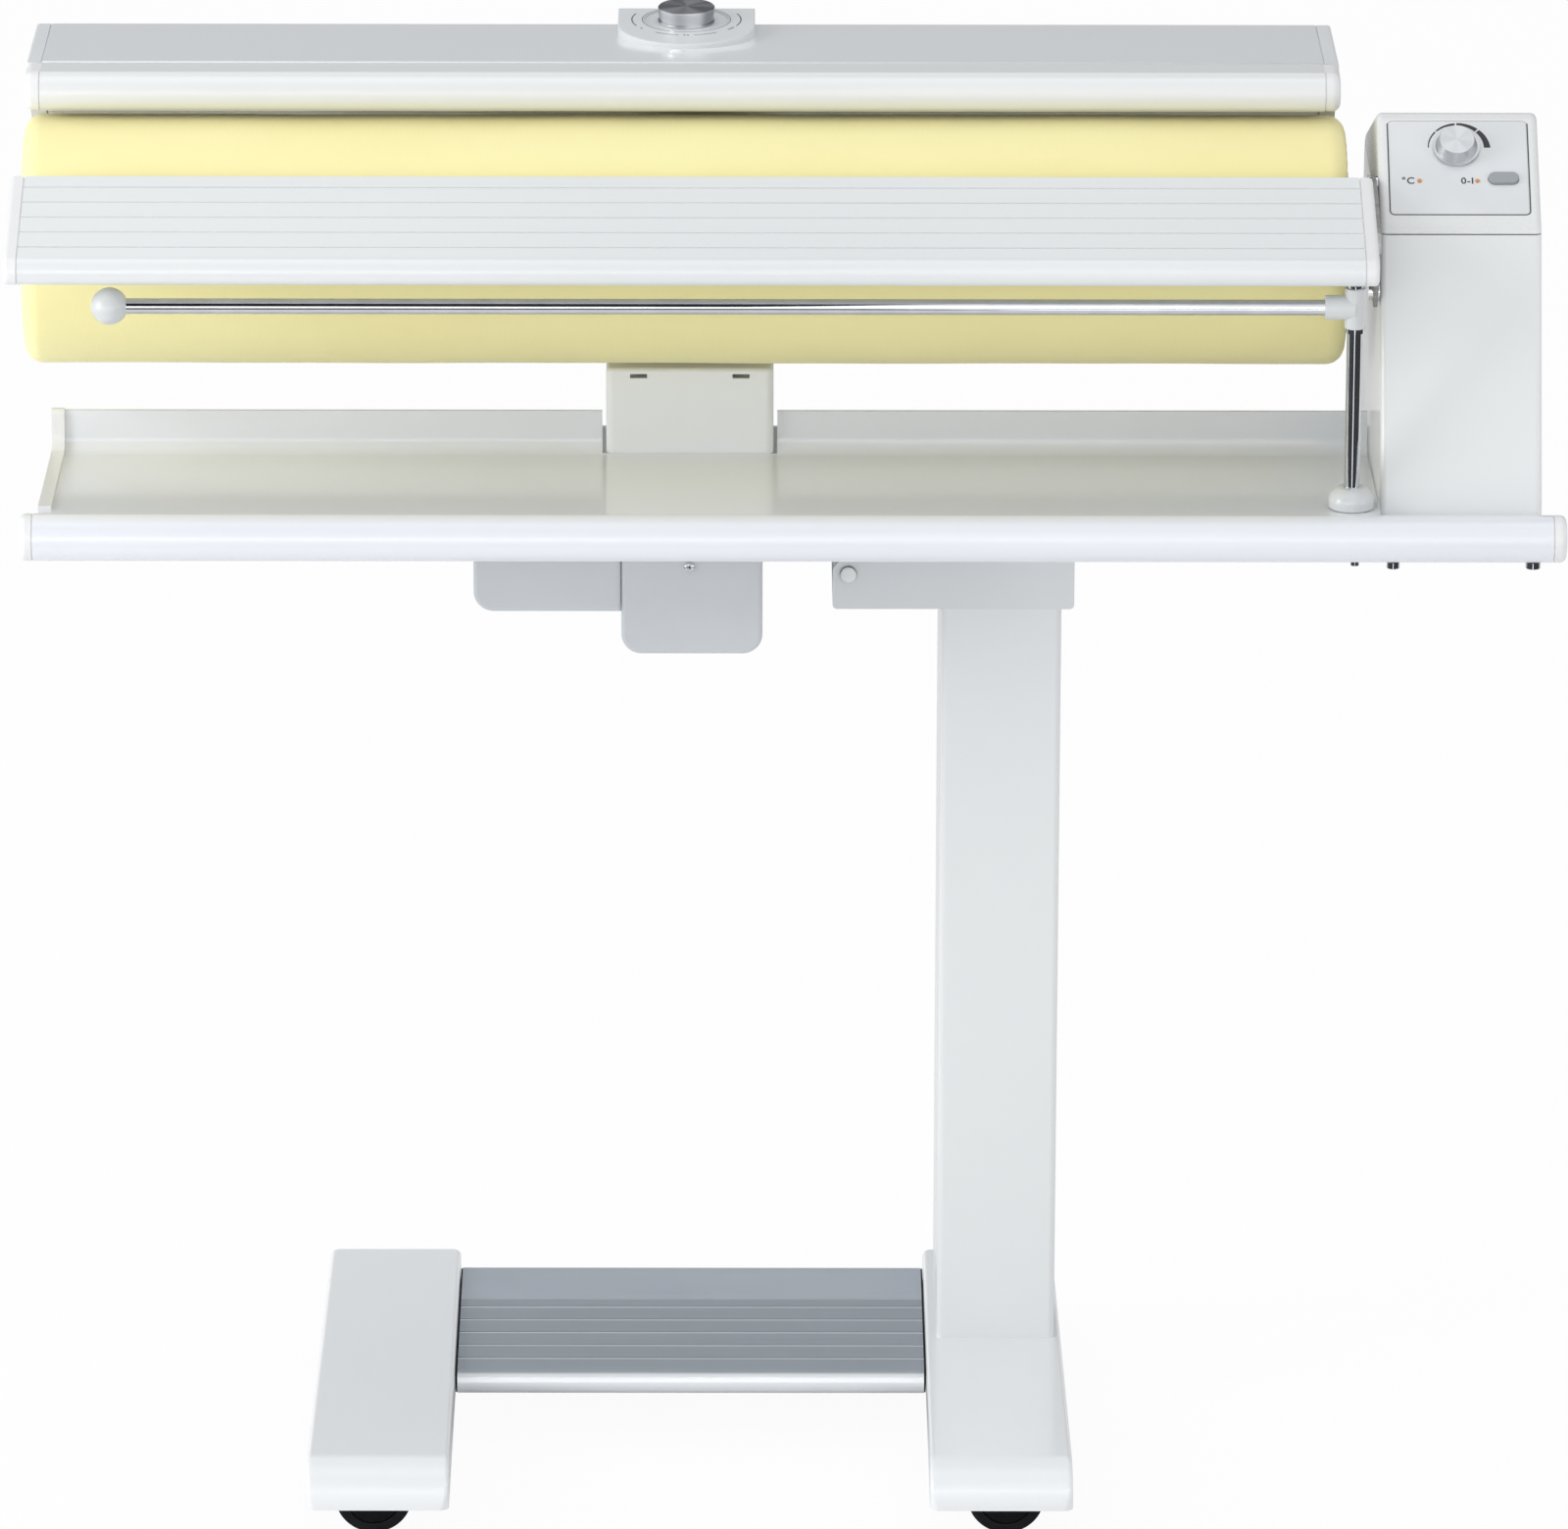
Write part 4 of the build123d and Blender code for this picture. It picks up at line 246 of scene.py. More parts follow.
# --- Feet: pressed steel shells in white enamel ---
# Two long hollow feet with a quarter-round nose, baked in slightly blue white enamel a shade
# paler than the column's, smooth with the faint orange peel of sprayed paint.


def surface_place(tree, stretch=(1.0, 1.0, 1.0), centre=(0.0, 0.0, 0.0)):
    """The object's own coordinates in metres, moved to a centre and scaled along each axis."""
    coordinate = tree.nodes.new("ShaderNodeTexCoord")
    shift = tree.nodes.new("ShaderNodeVectorMath")
    shift.operation = "SUBTRACT"
    shift.inputs[1].default_value = centre
    scale = tree.nodes.new("ShaderNodeVectorMath")
    scale.operation = "MULTIPLY"
    scale.inputs[1].default_value = stretch
    tree.links.new(coordinate.outputs["Object"], shift.inputs[0])
    tree.links.new(shift.outputs[0], scale.inputs[0])
    return scale.outputs[0]


def noise_field(tree, place, scale, detail=3.0, rough=0.5):
    """A cloudy field from 0 to 1 whose spots are about 1 / scale metres wide."""
    noise = tree.nodes.new("ShaderNodeTexNoise")
    noise.inputs["Scale"].default_value = scale
    noise.inputs["Detail"].default_value = detail
    noise.inputs["Roughness"].default_value = rough
    tree.links.new(place, noise.inputs["Vector"])
    return noise.outputs["Fac"]


def between(tree, field, low, high, start=0.3, end=0.7):
    """A value that goes from low to high as a field goes from start to end."""
    ranger = tree.nodes.new("ShaderNodeMapRange")
    ranger.interpolation_type = "SMOOTHSTEP"
    ranger.inputs["From Min"].default_value = start
    ranger.inputs["From Max"].default_value = end
    ranger.inputs["To Min"].default_value = low
    ranger.inputs["To Max"].default_value = high
    tree.links.new(field, ranger.inputs["Value"])
    return ranger.outputs["Result"]


def two_tones(tree, field, low_colour, high_colour, start=0.3, end=0.7):
    """A colour that goes from one tone to another as a field goes from start to end."""
    ramp = tree.nodes.new("ShaderNodeValToRGB")
    ramp.color_ramp.interpolation = "EASE"
    ramp.color_ramp.elements[0].position = start
    ramp.color_ramp.elements[0].color = low_colour
    ramp.color_ramp.elements[1].position = end
    ramp.color_ramp.elements[1].color = high_colour
    tree.links.new(field, ramp.inputs["Fac"])
    return ramp.outputs["Color"]


def raise_surface(tree, shader, field, depth, strength=1.0):
    """Bump from a field, depth metres high."""
    bump = tree.nodes.new("ShaderNodeBump")
    bump.inputs["Distance"].default_value = depth
    bump.inputs["Strength"].default_value = strength
    tree.links.new(field, bump.inputs["Height"])
    tree.links.new(bump.outputs["Normal"], shader.inputs["Normal"])
    return bump


def baked_enamel(name, deep, pale, gloss=0.32, peel=0.00002):
    """Sprayed and baked enamel: a broad cloud of tone, and orange peel about 3 mm across."""
    material, tree, shader = blank_material(name)
    broad = noise_field(tree, surface_place(tree), 3.2, 1.0)
    fine = noise_field(tree, surface_place(tree), 320.0, 1.0)
    tree.links.new(two_tones(tree, broad, deep, pale, 0.2, 0.8), shader.inputs["Base Color"])
    satin = between(tree, broad, gloss + 0.04, gloss - 0.02, 0.2, 0.8)
    tree.links.new(satin, shader.inputs["Roughness"])
    shader.inputs["Coat Weight"].default_value = 0.5
    shader.inputs["Coat Roughness"].default_value = 0.10
    raise_surface(tree, shader, fine, peel, 0.6)
    return material


def dress(material, *names):
    """Gives CAD nodes a material in place of the frame's plain one."""
    for name in names:
        nodes[name].data.materials.clear()
        nodes[name].data.materials.append(material)


foot_enamel = baked_enamel("foot_enamel", (0.815, 0.832, 0.842, 1), (0.840, 0.856, 0.864, 1))
dress(foot_enamel, "left_foot", "right_foot")

# --- Forks, axles and crossbar under the feet ---
# Bent strip and bar in bright zinc, with the patchy bluish spangle of galvanised steel, riveted
# under the feet where they hardly show.
zinc_dull = (0.46, 0.48, 0.50, 1.0)
zinc_bright = (0.66, 0.68, 0.70, 1.0)

zinc_steel, zinc_tree, zinc_shader = blank_material("zinc_plated_steel")
spangle = zinc_tree.nodes.new("ShaderNodeTexVoronoi")
spangle.inputs["Scale"].default_value = 160.0
zinc_tree.links.new(surface_place(zinc_tree), spangle.inputs["Vector"])
zinc_grain = noise_field(zinc_tree, surface_place(zinc_tree), 60.0, 4.0)
zinc_tree.links.new(
    two_tones(zinc_tree, spangle.outputs["Distance"], zinc_bright, zinc_dull, 0.1, 0.8),
    zinc_shader.inputs["Base Color"],
)
zinc_shader.inputs["Metallic"].default_value = 1.0
zinc_tree.links.new(between(zinc_tree, zinc_grain, 0.30, 0.52), zinc_shader.inputs["Roughness"])
dress(
    zinc_steel, "wheel_forks", "wheel_axles", "foot_crossbar", "pedal_hinge_pins", "fold_pin",
    "press_eccentric", "arm_pivot_pin",
)

# --- Wheels: black tyres on dark grey hubs ---
# Four plain rollers of black rubber that let the stand roll sideways. Each turns on its axle, and
# a moulded dark grey hub disc lies in the recess of each side.
wheel_height = 0.025
tyre_half_width = 0.011
hub_inner = 0.0086
hub_outer = 0.0176
hub_depth = 0.0020
hub_below_face = 0.0004
hub_edge = 0.0006
hub_around = 64


def flecked(name, deep, pale, rough, metallic, scale, detail, broken=0.5, stretch=(1.0, 1.0, 1.0)):
    """A finish whose tone follows one noise field, and its roughness too where it is a pair.

    Returns (material, tree, shader, field).
    """
    material, tree, shader = blank_material(name)
    field = noise_field(tree, surface_place(tree, stretch), scale, detail, broken)
    tree.links.new(two_tones(tree, field, deep, pale), shader.inputs["Base Color"])
    if isinstance(rough, tuple):
        tree.links.new(between(tree, field, *rough), shader.inputs["Roughness"])
    else:
        shader.inputs["Roughness"].default_value = rough
    shader.inputs["Metallic"].default_value = metallic
    return material, tree, shader, field


rubber, rubber_tree, rubber_shader, rubber_dust = flecked(
    "black_tyre_rubber", (0.006, 0.008, 0.009, 1), (0.012, 0.014, 0.015, 1), (0.62, 0.80), 0.0,
    90.0, 5.0, 0.6,
)
rubber_shader.inputs["Specular IOR Level"].default_value = 0.15
raise_surface(rubber_tree, rubber_shader, rubber_dust, 0.0002, 0.5)

hub_plastic, hub_tree, hub_shader, hub_grain = flecked(
    "dark_hub_plastic", (0.0015, 0.0022, 0.0026, 1), (0.0040, 0.0052, 0.0058, 1), 0.60, 0.0,
    700.0, 2.0,
)
hub_shader.inputs["Specular IOR Level"].default_value = 0.15
raise_surface(hub_tree, hub_shader, hub_grain, 0.00005, 0.6)


def turned(profile, centre, axis, around=64, start=(0.0, 0.0, 1.0)):
    """A surface of revolution as an array of points.

    A profile point (along, radius) becomes centre + along * axis + radius * (cos t * start +
    sin t * side), where side is the cross product of axis and start, and t runs round once.
    """
    profile = np.asarray(profile, float)
    axis = np.asarray(axis, float) / np.linalg.norm(axis)
    start = np.asarray(start, float)
    start = start - axis * start.dot(axis)
    start /= np.linalg.norm(start)
    side = np.cross(axis, start)
    turn = np.linspace(0.0, 2.0 * np.pi, around, endpoint=False)
    outward = np.cos(turn)[:, None] * start + np.sin(turn)[:, None] * side
    along = profile[:, 0][:, None, None] * axis
    return np.asarray(centre, float) + along + profile[:, 1][:, None, None] * outward[None]


def rounded_ring(low, high, inner, outer, edge, steps=6):
    """The closed profile of a ring: a rectangle in (along, radius) with round corners."""
    quarter = np.linspace(0.0, np.pi / 2, steps)
    corners = (
        (high - edge, outer - edge, 0.0),
        (low + edge, outer - edge, np.pi / 2),
        (low + edge, inner + edge, np.pi),
        (high - edge, inner + edge, 3 * np.pi / 2),
    )
    arcs = [
        np.stack([x + edge * np.cos(quarter + turn), y + edge * np.sin(quarter + turn)], axis=1)
        for x, y, turn in corners
    ]
    return np.concatenate(arcs)


for corner in ("front_left", "front_right", "rear_left", "rear_right"):
    node_name = "wheel_" + corner
    dress(rubber, node_name)
    low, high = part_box(node_name)
    middle = (low + high) / 2
    for side_name, outward in (("outer", -1.0), ("inner", 1.0)):
        hub_profile = rounded_ring(
            -hub_below_face - hub_depth, -hub_below_face, hub_inner, hub_outer, hub_edge
        )
        face = (middle.x, middle.y + outward * tyre_half_width, wheel_height)
        hub_points = turned(hub_profile, face, (0.0, outward, 0.0), hub_around)
        hub = new_piece(
            f"hub_disc_{corner}_{side_name}",
            grid_mesh("hub_disc", hub_points, loop_u=True, loop_v=True),
            hub_plastic,
        )
        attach(hub, corner + "_wheel")

# --- Pedal: a ribbed extrusion of anodised aluminium ---
# One hollow extrusion the whole width between the feet, satin anodised. Its front part is finely
# ribbed between five grooves, and painted highlights lie along the round front edge and just in
# front of each groove.
pedal_grain = 0.0007
ribbed_back = 0.1175
first_groove = 0.0258
groove_pitch = 0.0214
groove_count = 5
glint_before_groove = 0.0014

pedal_metal, pedal_tree, pedal_shader = blank_material("satin_anodised_aluminium")
brush = noise_field(pedal_tree, surface_place(pedal_tree, (6.0, 900.0, 900.0)), 1.0, 3.0, 0.6)
cloud = noise_field(pedal_tree, surface_place(pedal_tree), 9.0, 2.0)
pedal_place = pedal_tree.nodes.new("ShaderNodeTexCoord")
pedal_axes = pedal_tree.nodes.new("ShaderNodeSeparateXYZ")
pedal_tree.links.new(pedal_place.outputs["Object"], pedal_axes.inputs[0])
on_ribs = between(pedal_tree, pedal_axes.outputs["Y"], 1.0, 0.0, ribbed_back - 0.0006, ribbed_back)
rib_wave = pedal_tree.nodes.new("ShaderNodeTexWave")
rib_wave.wave_type = "BANDS"
rib_wave.bands_direction = "Y"
rib_wave.inputs["Scale"].default_value = 1.0 / (math.pi * pedal_grain)
pedal_tree.links.new(surface_place(pedal_tree), rib_wave.inputs["Vector"])
rib_height = worked_out(pedal_tree, "MULTIPLY", rib_wave.outputs["Fac"], on_ribs)
brushed_height = worked_out(pedal_tree, "MULTIPLY_ADD", brush, 0.35, rib_height)
smooth_tone = two_tones(pedal_tree, cloud, (0.575, 0.630, 0.695, 1), (0.620, 0.675, 0.740, 1))
ribbed_tone = two_tones(pedal_tree, brush, (0.375, 0.415, 0.460, 1), (0.430, 0.475, 0.520, 1))
pedal_tone = pedal_tree.nodes.new("ShaderNodeMix")
pedal_tone.data_type = "RGBA"
pedal_tree.links.new(on_ribs, pedal_tone.inputs[0])
pedal_tree.links.new(smooth_tone, pedal_tone.inputs[6])
pedal_tree.links.new(ribbed_tone, pedal_tone.inputs[7])


def stripe(tree, value, centre, half_width, soft):
    """1 within half_width of a centre, falling smoothly to 0 over a soft edge outside it."""
    distance = worked_out(tree, "ABSOLUTE", worked_out(tree, "SUBTRACT", value, float(centre)))
    return between(tree, distance, 1.0, 0.0, half_width, half_width + soft)


# Painted highlights: pale stripes in the base colour along the round nose and just before each groove,
# where the edges catch the light.
pedal_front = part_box("pedal")[0].y
glints = stripe(pedal_tree, pedal_axes.outputs["Y"], pedal_front + 0.0010, 0.0014, 0.0022)
for groove in range(groove_count):
    glint_y = pedal_front + first_groove + groove_pitch * groove - glint_before_groove
    glint = stripe(pedal_tree, pedal_axes.outputs["Y"], glint_y, 0.0007, 0.0003)
    glints = worked_out(pedal_tree, "MAXIMUM", glints, glint)
painted_glint_tone = pedal_tree.nodes.new("ShaderNodeMix")
painted_glint_tone.data_type = "RGBA"
painted_glint_tone.inputs[7].default_value = (0.84, 0.86, 0.88, 1.0)
pedal_tree.links.new(glints, painted_glint_tone.inputs[0])
pedal_tree.links.new(pedal_tone.outputs[2], painted_glint_tone.inputs[6])
pedal_tree.links.new(painted_glint_tone.outputs[2], pedal_shader.inputs["Base Color"])
pedal_shader.inputs["Metallic"].default_value = 0.60
pedal_tree.links.new(between(pedal_tree, brush, 0.34, 0.46), pedal_shader.inputs["Roughness"])
raise_surface(pedal_tree, pedal_shader, brushed_height, 0.00006, 0.7)
dress(pedal_metal, "pedal")

# --- Pedal end plates ---
# Thin plates that close the extrusion's two ends, coloured black as painted shade for the
# dark gap between the pedal and the feet. They follow its outline a little inside it, and
# leave the pedal free between the feet.
plate_inset = 0.0004
plate_thick = 0.0011
plate_gap = 0.00005
nose_radius = 0.0085
pedal_rise = math.tan(math.radians(0.9))
pedal_low, pedal_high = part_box("pedal")

# Black as painted shade: it stands in for the shadow in the gaps between the pedal and the feet.
gap_shade_black, _, plate_shader = blank_material("gap_shade_end_plate")
plate_shader.inputs["Base Color"].default_value = (0.006, 0.006, 0.007, 1.0)
plate_shader.inputs["Roughness"].default_value = 0.6
plate_shader.inputs["Specular IOR Level"].default_value = 0.2

nose_turn = np.radians(np.linspace(90.0, 270.0, 25))
plate_y = pedal_low.y + nose_radius + (nose_radius - plate_inset) * np.cos(nose_turn)
plate_z = pedal_low.z + nose_radius + (nose_radius - plate_inset) * np.sin(nose_turn)
back_y = pedal_high.y - plate_inset
back_lift = (back_y - pedal_low.y - nose_radius) * pedal_rise
upper_back = (back_y, pedal_low.z + 2 * nose_radius - plate_inset + back_lift)
lower_back = (back_y, pedal_low.z + plate_inset + back_lift)
outline_y = np.concatenate([[upper_back[0]], plate_y, [lower_back[0]]])
outline_z = np.concatenate([[upper_back[1]], plate_z, [lower_back[1]]])
for side_name, end_x, outward in (("left", pedal_low.x, -1.0), ("right", pedal_high.x, 1.0)):
    # Rings of the outline: the inner face's middle, the two rims, and the outer face's middle.
    rings = []
    for share, depth in ((0.01, plate_gap), (1.0, plate_gap), (1.0, plate_thick), (0.01, plate_thick)):
        ring_x = np.full_like(outline_y, end_x + outward * depth)
        ring_y = outline_y.mean() + share * (outline_y - outline_y.mean())
        ring_z = outline_z.mean() + share * (outline_z - outline_z.mean())
        rings.append(np.stack([ring_x, ring_y, ring_z], axis=1))
    plate_points = np.stack(rings)
    if outward > 0.0:
        plate_points = plate_points[:, ::-1]
    plate_mesh = grid_mesh("pedal_end_plate", plate_points, loop_v=True)
    end_plate = new_piece("pedal_end_plate_" + side_name, plate_mesh, gap_shade_black, smooth=False)
    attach(end_plate, "foot_pedal")

# --- Pedal spring and switch ---
# A bent leaf of blued spring steel that lifts the pedal again, and the small black snap switch
# beside it, both on the crossbar under the pedal.
spring_steel = flecked(
    "blued_spring_steel", (0.10, 0.12, 0.16, 1), (0.22, 0.24, 0.28, 1), 0.34, 1.0, 120.0, 3.0
)[0]
dress(spring_steel, "pedal_return_spring")


def moulded_plastic(name, deep, pale, gloss=0.42, grain=900.0, depth=0.00003):
    """Injection-moulded plastic: a very faint cloud of tone and a fine matt grain."""
    material, tree, shader = blank_material(name)
    broad = noise_field(tree, surface_place(tree), 12.0, 2.0)
    fine = noise_field(tree, surface_place(tree), grain, 2.0)
    tree.links.new(two_tones(tree, broad, deep, pale), shader.inputs["Base Color"])
    tree.links.new(between(tree, fine, gloss - 0.04, gloss + 0.05), shader.inputs["Roughness"])
    raise_surface(tree, shader, fine, depth, 0.5)
    return material


black_plastic = moulded_plastic(
    "black_moulding", (0.014, 0.014, 0.015, 1), (0.024, 0.024, 0.026, 1), 0.40
)
dress(black_plastic, "pedal_switch", "cable_gland", "fold_pin_clips")

# --- Column and its head ---
# A rectangular steel column with rounded corners and the pressed head on top of it, welded and
# enamelled together. The upper unit folds about the pin in the head's left end.
white_enamel = baked_enamel("white_enamel", (0.765, 0.783, 0.787, 1), (0.790, 0.806, 0.808, 1))
dress(white_enamel, "column")
head_enamel = baked_enamel(
    "column_head_enamel", (0.700, 0.716, 0.730, 1), (0.730, 0.746, 0.758, 1), 0.34
)
dress(head_enamel, "column_head")

buffer_rubber = moulded_plastic(
    "grey_buffer_rubber", (0.05, 0.05, 0.052, 1), (0.08, 0.08, 0.082, 1), 0.7, 500.0, 0.0001
)
dress(buffer_rubber, "rest_buffers")

# --- Fold pin's caps ---
# White snap-on plastic caps over both ends of the fold pin, slightly domed, inside the dark ring
# of the pin's clips.
pin_cap_radius = 0.0052
pin_cap_height = 0.0014
pin_cap_skirt = 0.0006
pole_radius = 0.00002
white_plastic = moulded_plastic(
    "white_moulding", (0.815, 0.822, 0.824, 1), (0.835, 0.842, 0.844, 1), 0.36
)
pin_low, pin_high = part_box("fold_pin")
pin_middle = (pin_low + pin_high) / 2
cap_turn = np.linspace(0.0, np.pi / 2, 12)
cap_dome = np.stack(
    [pin_cap_height * np.cos(cap_turn), pin_cap_radius * np.sin(cap_turn)], axis=1
)
cap_dome[0, 1] = pole_radius
cap_foot = [[-pin_cap_skirt, pin_cap_radius], [-pin_cap_skirt, pole_radius]]
cap_profile = np.concatenate([cap_dome, cap_foot])
for end_name, end_y, outward in (("front", pin_low.y, -1.0), ("back", pin_high.y, 1.0)):
    cap_points = turned(cap_profile, (pin_middle.x, end_y, pin_middle.z), (0, outward, 0), 48)
    pin_cap = new_piece(
        "fold_pin_cap_" + end_name, grid_mesh("fold_pin_cap", cap_points, loop_v=True), white_plastic
    )
    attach(pin_cap, "base")

# --- Chassis beam ---
# The folded steel channel under the upper unit with its brackets, bearing cheeks and the plate
# under the housing, in a slightly duller undercoat enamel.
chassis_enamel = baked_enamel(
    "chassis_enamel", (0.640, 0.655, 0.668, 1), (0.680, 0.694, 0.706, 1), 0.40
)
dress(chassis_enamel, "chassis_beam")

# --- Tray and its end caps ---
# The laundry tray: a round front tube, a sloping flat and a low back rim in white enamel, with
# moulded caps in the tube's ends and a moulded strip over the left edge.
tray_enamel = baked_enamel(
    "tray_enamel", (0.800, 0.822, 0.866, 1), (0.820, 0.842, 0.886, 1), 0.32
)
dress(tray_enamel, "tray")
dress(white_plastic, "tray_end_caps")

# --- Arm bearing cover and drive boxes ---
# The cover over the heater arm's bearing and the two boxes over the press drive are thin pale
# grey-white mouldings with a fine matt grain.
cover_plastic = moulded_plastic(
    "bearing_cover_moulding", (0.870, 0.888, 0.900, 1), (0.890, 0.906, 0.918, 1), 0.44
)
box_plastic = moulded_plastic(
    "drive_box_moulding", (0.575, 0.598, 0.618, 1), (0.600, 0.624, 0.644, 1), 0.46
)
dress(cover_plastic, "arm_bearing_cover")
dress(box_plastic, "drive_box_left", "drive_box_right")

# --- Press drive, heater arm and the parts inside the heater ---
# The gear motor is a grey casting, the arm is grey painted steel, the shoe is a polished curved
# aluminium plate, and the heating elements are dark scaled steel tubes.
casting = moulded_plastic(
    "grey_motor_casting", (0.26, 0.27, 0.28, 1), (0.36, 0.37, 0.38, 1), 0.5, 300.0, 0.0002
)
dress(casting, "press_motor", "roller_motor", "bearing_plate")
arm_paint = baked_enamel("grey_arm_paint", (0.40, 0.42, 0.43, 1), (0.46, 0.48, 0.49, 1), 0.42)
dress(arm_paint, "heater_arm")

shoe_metal = flecked(
    "polished_heater_shoe", (0.70, 0.70, 0.69, 1), (0.80, 0.80, 0.79, 1), (0.16, 0.28), 1.0,
    1.0, 3.0, stretch=(4.0, 500.0, 500.0),
)[0]
dress(shoe_metal, "heater_plate")

element_steel = flecked(
    "scaled_element_steel", (0.08, 0.07, 0.065, 1), (0.20, 0.18, 0.16, 1), (0.40, 0.65), 0.8,
    200.0, 4.0,
)[0]
dress(element_steel, "heating_elements")

# --- Heater cover, end caps and finger guard ---
# The long enamelled sheet over the heater, in a paler white than the guard in front of it. The
# guard is a round-nosed white extrusion, and both have moulded caps at their ends.
cover_front_y = 0.0195
cover_front_z = 0.9485
cover_enamel = baked_enamel(
    "heater_cover_enamel", (0.870, 0.890, 0.904, 1), (0.900, 0.918, 0.928, 1), 0.32
)
dress(cover_enamel, "heater_cover")
guard_enamel = baked_enamel(
    "guard_enamel", (0.800, 0.815, 0.820, 1), (0.820, 0.834, 0.838, 1), 0.32
)
dress(guard_enamel, "finger_guard")
dress(white_plastic, "finger_guard_caps")
end_cap_plastic = moulded_plastic(
    "heater_cap_moulding", (0.780, 0.800, 0.806, 1), (0.800, 0.818, 0.824, 1), 0.38
)
dress(end_cap_plastic, "heater_end_caps")


def straight_bead(name, start, length, half_width, half_height, material, around):
    """A fine bead along X: an ellipse in the YZ plane carried from the start, its ends closed."""
    turn = np.linspace(0.0, 2 * np.pi, around, endpoint=False)
    stations = np.array([0.0, 0.0, length, length])
    shares = np.array([0.02, 1.0, 1.0, 0.02])
    x = start[0] + stations[:, None] + 0 * turn
    y = start[1] + shares[:, None] * half_width * np.cos(turn)
    z = start[2] - shares[:, None] * half_height * np.sin(turn)
    points = np.stack([x, y, z], axis=2)
    return new_piece(name, grid_mesh(name, points, loop_v=True), material)


# A fine bead closes the sheet's front edge above the guard.
bead_radius = 0.0006
bead_inset = 0.0004
bead_behind = 0.0008
bead_above = 0.0001
cover_low, cover_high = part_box("heater_cover")
bead_start = (cover_low.x + bead_inset, cover_front_y + bead_behind, cover_front_z + bead_above)
bead_length = cover_high.x - cover_low.x - 2 * bead_inset
cover_bead = straight_bead(
    "cover_front_bead", bead_start, bead_length, bead_radius, bead_radius, white_plastic, 20
)
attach(cover_bead, "heater")

# A thin soft lip along the guard's lower edge keeps the gap over the roller narrow.
lip_half_width = 0.0006
lip_half_drop = 0.0006
lip_y = 0.0004
guard_low, guard_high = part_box("finger_guard")
lip_start = (guard_low.x, lip_y, guard_low.z - lip_half_drop)
guard_lip = straight_bead(
    "guard_lip", lip_start, guard_high.x - guard_low.x, lip_half_width, lip_half_drop,
    white_plastic, 24,
)
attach(guard_lip, "guard")

# --- Temperature knob and its plinth ---
# A turned aluminium knob in the round recess of a flat moulded plinth. Grey printing round the
# recess shows the ranges with one, two and three dots, as on the care labels of linen.
knob_low, knob_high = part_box("temperature_knob")
knob_axis_x = (knob_low.x + knob_high.x) / 2
knob_axis_y = (knob_low.y + knob_high.y) / 2
plinth_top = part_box("knob_plinth")[1].z
print_lift = 0.00006
print_thickness = 0.00005
recess_line_inner = 0.0284
recess_line_outer = 0.0288
range_arc_inner = 0.0350
range_arc_outer = 0.0357
range_arcs = ((158.0, 204.0), (236.0, 262.0), (278.0, 304.0), (336.0, 382.0))
range_dots = ((215.0, 1), (270.0, 2), (325.0, 3))
dot_circle = 0.0354
dot_radius = 0.0008
dot_step = 3.6


def turned_metal(name, centre, tilt, dark, bright, face_height, top_shade_share):
    """Metal turned on a lathe, with fine rings and painted sheen round an axis.

    The tone follows the angle round the axis: a sine of two sectors and a sine of five, painted
    light and dark sectors that stand in for the sheen of turning marks. The tilt is the axis's
    lean from upright, about the X axis. From face_height upwards along the axis the tone is
    multiplied by top_shade_share, a painted shade on the top face.
    """
    material, tree, shader = blank_material(name)
    place = surface_place(tree, (1.0, 1.0, 1.0), centre)
    lean = tree.nodes.new("ShaderNodeVectorRotate")
    lean.rotation_type = "X_AXIS"
    lean.inputs["Angle"].default_value = -tilt
    tree.links.new(place, lean.inputs["Vector"])
    axes = tree.nodes.new("ShaderNodeSeparateXYZ")
    tree.links.new(lean.outputs[0], axes.inputs[0])
    angle = worked_out(tree, "ARCTAN2", axes.outputs["X"], axes.outputs["Y"])
    # Painted sheen: sectors of lighter and darker base colour round the axis, where turned metal
    # catches and loses the light.
    total = 0.5
    for count, phase, weight in ((2.0, 0.9, 0.26), (5.0, 0.2, 0.24)):
        painted_sheen_sector = worked_out(tree, "SINE", worked_out(tree, "MULTIPLY_ADD", angle, count, phase))
        total = worked_out(tree, "MULTIPLY_ADD", painted_sheen_sector, weight, total)
    # Painted shade: above face_height the colour is multiplied by top_shade_share, darkening the top
    # face.
    face = between(tree, axes.outputs["Z"], 1.0, top_shade_share, face_height - 0.0002, face_height)
    tone = tree.nodes.new("ShaderNodeVectorMath")
    tone.operation = "SCALE"
    tree.links.new(two_tones(tree, total, dark, bright, 0.1, 0.9), tone.inputs[0])
    tree.links.new(face, tone.inputs["Scale"])
    tree.links.new(tone.outputs[0], shader.inputs["Base Color"])
    shader.inputs["Metallic"].default_value = 0.80
    wave = tree.nodes.new("ShaderNodeTexWave")
    wave.wave_type = "RINGS"
    wave.rings_direction = "Z"
    wave.inputs["Scale"].default_value = 160.0
    wave.inputs["Distortion"].default_value = 0.4
    tree.links.new(lean.outputs[0], wave.inputs["Vector"])
    tree.links.new(between(tree, wave.outputs["Fac"], 0.30, 0.36), shader.inputs["Roughness"])
    raise_surface(tree, shader, wave.outputs["Fac"], 0.000003, 0.5)
    return material


